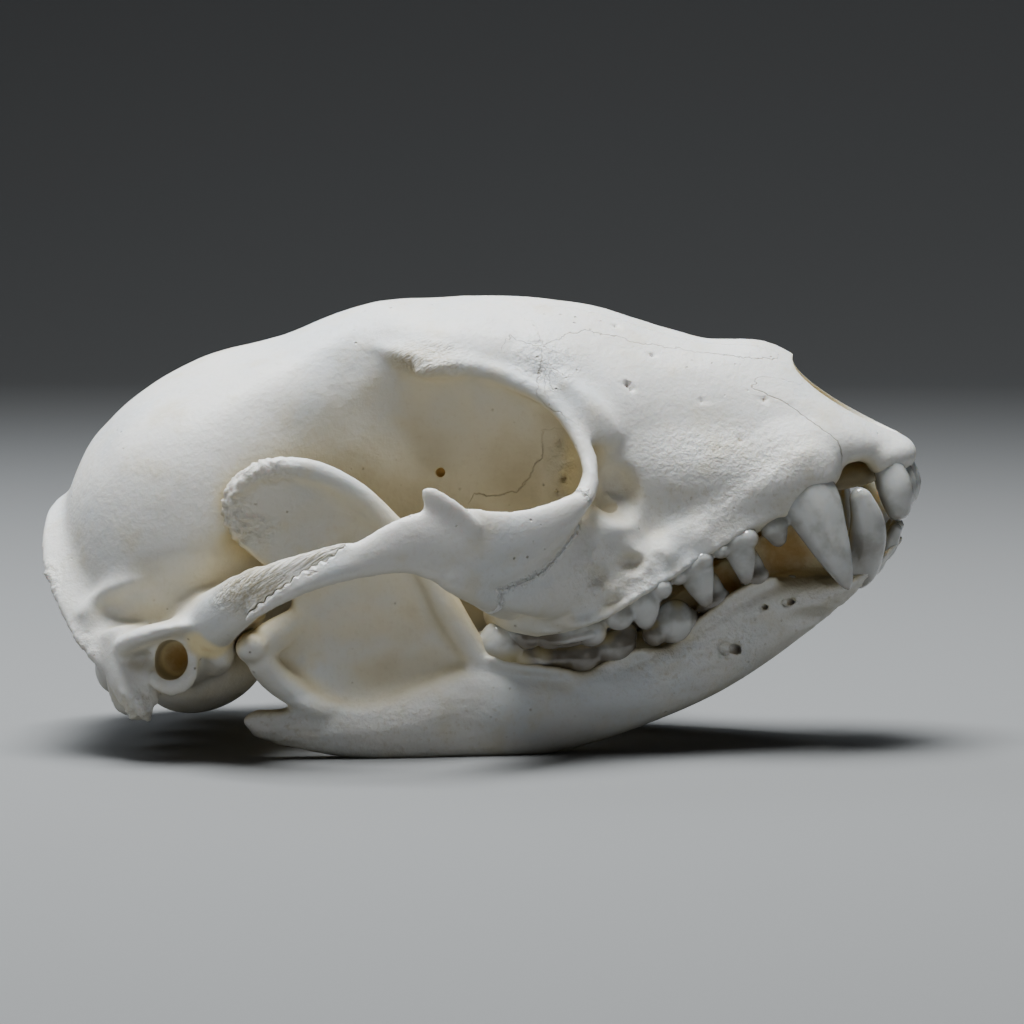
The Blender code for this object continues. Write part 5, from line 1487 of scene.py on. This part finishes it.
def enamel_finish(name):
    """Tooth enamel: milky, glossy and faintly lined, with painted shade that turns it grey, brown and amber
    where it faces down and where it is closed in, and stains that are partly painted shade where the teeth
    stand close.
    """
    material, shader, start = new_material(name)
    place = start.node("ShaderNodeTexCoord", output=3)
    recess = named_number(start, "recess")
    clouds = grain_of(start, place, size=3.0, detail=3.0)
    fine = grain_of(start, place, size=0.5, detail=3.0)
    # Painted shade: darker where the enamel faces down, is closed in or lies in the shade spots, and amber
    # deep in its recesses. The stains in the gaps are partly painted shade as well.
    colour = clouds.step(0.42, 0.7).mix(ENAMEL_WHITE, ENAMEL_GREY)
    colour = (named_number(start, "underside_shade") * 0.7).mix(colour, ENAMEL_PAINTED_SHADE)
    colour = (recess + 0.2 * (clouds - 0.5)).step(0.25, 0.65).mix(colour, ENAMEL_GREY)
    colour = (named_number(start, "shade") + 0.3 * (clouds - 0.5)).step(0.1, 0.8).mix(colour, ENAMEL_PAINTED_SHADE)
    colour = (recess + 0.3 * (clouds - 0.5)).step(0.55, 0.95).mix(colour, ENAMEL_STAIN_AND_SHADE)
    colour = (recess + 0.2 * (fine - 0.5)).step(0.86, 1.0).mix(colour, AMBER)
    colour = (named_number(start, "stain_and_shade") + 0.4 * (clouds - 0.5)).step(0.2, 0.9).mix(colour, ENAMEL_STAIN_AND_SHADE)
    start.feed(shader, {
        "Base Color": colour,
        "Roughness": 0.08 + 0.12 * fine,
        "Normal": bump_of(start, 0.05 * fine + 0.10 * clouds, strength=0.35),
        "Subsurface Weight": 0.3,
        "Subsurface Radius": (1.0, 0.7, 0.42),
        "Subsurface Scale": 0.0014,
        "Coat Weight": 1.0,
        "Coat Roughness": 0.05,
    })
    return material


def tooth_row(name, forms):
    """Teeth fused from their lobes into smooth crowns."""
    teeth = object_from(name, forms)
    fuse(teeth, TOOTH_GRAIN)
    ease(teeth.data, rounds=9)
    return teeth


def finish_teeth(teeth, node, sides):
    """Shades and stains a row of teeth, and puts it in its place beside the bone that carries it."""
    put_shade(teeth.data)
    put_spots(teeth.data, "stain_and_shade", GAP_STAINS_AND_SHADE, sides)
    put_spots(teeth.data, "shade", SHADE_SPOTS, sides)
    finish_piece(teeth, node, enamel)


enamel = enamel_finish("tooth enamel")
upper_row = tooth_row("upper_teeth", [*upper_teeth(RIGHT), *upper_teeth(LEFT)])
finish_teeth(upper_row, "cranium", BOTH)


# Lower teeth. The same kinds of teeth in the lower jaw, in the same enamel and with slimmer crowns,
# which bite inside the upper ones. The canine curves up in front of the upper canine. They are laid up
# like the upper row, once for each half of the jaw, and are sunk in its bone.

LOWER_LOBES = [
    ((3.7, 17.2, 14.0), (3.2, 2.6, 3.1), 0), ((5.6, 16.4, 12.5), (3.3, 2.4, 2.3), -10),
    ((7.6, 15.4, 11.8), (3.2, 2.3, 2.0), 4),
    ((13.6, 15.2, 12.0), (2.5, 2.1, 2.5), 8), ((10.8, 14.8, 12.0), (2.4, 2.0, 1.8), 8),
    ((17.6, 14.8, 13.4), (2.9, 2.2, 2.2), 20), ((18.8, 14.2, 15.0), (1.7, 1.7, 1.7), 20),
    ((25.1, 13.9, 16.6), (2.5, 2.1, 2.9), -20), ((22.6, 14.3, 15.0), (1.5, 1.7, 1.6), 20),
    ((26.8, 13.0, 17.0), (1.4, 1.6, 1.8), 30), ((30.1, 12.0, 19.0), (2.3, 1.6, 1.4), 30),
    ((35.2, 10.9, 22.0), (2.0, 1.4, 1.3), 20), ((40.0, 8.0, 21.2), (0.9, 0.9, 0.9), 0),
]
LOWER_CUSPS = [
    ([(30.2, 11.8, 18.0), (30.0, 12.0, 20.4), (29.9, 12.2, 22.8)], [(1.5, 2.1), (1.2, 1.6), (0.45, 0.5)]),
    ([(35.2, 10.6, 21.0), (34.9, 10.8, 23.6), (34.5, 11.0, 26.2)], [(1.3, 1.9), (1.05, 1.5), (0.4, 0.45)]),
]
LOWER_CANINE = [
    (46.8, 6.4, 21.4), (48.2, 7.1, 22.6), (49.2, 8.1, 25.0), (49.6, 9.3, 28.4), (48.2, 10.2, 33.4),
]
LOWER_CANINE_SIZE = [(1.4, 2.2), (1.7, 2.5), (1.9, 2.5), (1.8, 2.3), (0.95, 1.15)]
LOWER_INCISORS = [
    ([(50.4, 1.1, 23.4), (52.4, 1.2, 25.4), (54.2, 1.3, 28.4)], 0.95),
    ([(50.0, 3.0, 23.4), (52.2, 3.3, 25.4), (54.0, 3.4, 28.6)], 1.05),
    ([(49.6, 4.9, 23.2), (52.0, 5.3, 25.2), (53.6, 5.6, 28.4)], 1.25),
]


LOWER_INCISOR_SHAPE = np.array([(0.8, 0.9), (1.0, 1.0), (0.9, 0.5)])


def lower_teeth(side):
    canine = bar(shifted(LOWER_CANINE, side), LOWER_CANINE_SIZE, side, up=(1, 0, -0.4), blunt=1.2)
    incisors = [
        bar(path, half * LOWER_INCISOR_SHAPE, side, up=(1, 0, 0), blunt=0.5, count=30, sides=24)
        for path, half in LOWER_INCISORS
    ]
    return [*cheek_teeth(LOWER_LOBES, LOWER_CUSPS, side), canine, *incisors]


for word, side in (("right", RIGHT), ("left", LEFT)):
    finish_teeth(tooth_row("lower_teeth_" + word, lower_teeth(side)), "dentary_" + word, (side,))


# Studio. The skull stands on one sheet of pale matt paper, which runs on behind it and curves up into
# a backdrop, so that no edge shows. It is drawn as a strip from its outline, seen from the side.

FLOOR_HALF_WIDTH = 2.4
FLOOR_FRONT = -1.4
SWEEP_START = 0.9
SWEEP_RADIUS = 0.5
SWEEP_TOP = 1.6
PAPER_GREY = (0.20, 0.203, 0.208, 1)


def paper_sweep():
    """The outline of the sweep from its front edge to its top, as (distance back, height)."""
    bend = np.linspace(0, math.pi / 2, 24)
    curve = [(SWEEP_START + SWEEP_RADIUS * math.sin(a), SWEEP_RADIUS * (1 - math.cos(a))) for a in bend]
    return [(FLOOR_FRONT, 0.0), *curve, (SWEEP_START + SWEEP_RADIUS, SWEEP_TOP)]


sheet = bmesh.new()
rows = [[sheet.verts.new((x, y, z)) for x in (-FLOOR_HALF_WIDTH, FLOOR_HALF_WIDTH)] for y, z in paper_sweep()]
for near, far in zip(rows, rows[1:]):
    sheet.faces.new((near[0], near[1], far[1], far[0]))
sweep_mesh = bpy.data.meshes.new("paper_sweep")
sheet.to_mesh(sweep_mesh)
sheet.free()
sweep_mesh.shade_smooth()
sweep = add_object("paper_sweep", sweep_mesh)
paper, paper_shader, paper_start = new_material("pale paper")
paper_start.feed(paper_shader, {"Base Color": PAPER_GREY, "Roughness": 0.85})
sweep_mesh.materials.append(paper)


# Light. A large soft box straight above, a faint warm fill from the nose side, and a strip behind
# that picks out the top edge. All three face the middle of the skull, in a dim bluish room.

SKULL_CENTRE = Vector((0.0, 0.0, 0.03))
ROOM_BLUE = (0.80, 0.86, 1.0, 1)
ROOM_LIGHT = 0.02


def soft_box(name, place, size, power, colour):
    """A flat lamp of the given width and height in metres, and power in watts."""
    light = bpy.data.lights.new(name, "AREA")
    light.shape = "RECTANGLE"
    light.size, light.size_y = size
    light.energy = power
    light.color = colour
    lamp = add_object(name, light)
    lamp.location = place
    lamp.rotation_euler = (SKULL_CENTRE - lamp.location).to_track_quat("-Z", "Y").to_euler()


soft_box("key", Vector((-0.06, 0.03, 0.60)), (0.40, 0.26), 9.5, (0.97, 1.0, 1.0))
soft_box("fill", Vector((0.30, -0.75, 0.25)), (0.4, 0.4), 0.14, (1.0, 0.95, 0.86))
soft_box("edge", Vector((-0.30, 0.36, 0.42)), (0.5, 0.15), 1.0, (0.86, 0.93, 1.0))
world = bpy.data.worlds.new("studio air")
world.use_nodes = True
Wire(world.node_tree).feed(world.node_tree.nodes["Background"], {"Color": ROOM_BLUE, "Strength": ROOM_LIGHT})
bpy.context.scene.world = world


# Camera. A long lens on the skull's right side, a little above its middle and turned slightly towards
# the nose, at the distance and the angle of the photograph.

LOOK_AT = Vector((3.3, 0.0, 29.3)) * MM
DISTANCE = 0.6
TURN, TILT = math.radians(3.0), math.radians(4.5)
LENS, SENSOR = 163.05, 36

camera_data = bpy.data.cameras.new("camera")
camera_data.lens = LENS
camera_data.sensor_width = SENSOR
camera = add_object("camera", camera_data)
away = Vector((math.sin(TURN) * math.cos(TILT), -math.cos(TURN) * math.cos(TILT), math.sin(TILT)))
camera.location = LOOK_AT + away * DISTANCE
camera.rotation_euler = away.to_track_quat("Z", "Y").to_euler()
bpy.context.scene.camera = camera
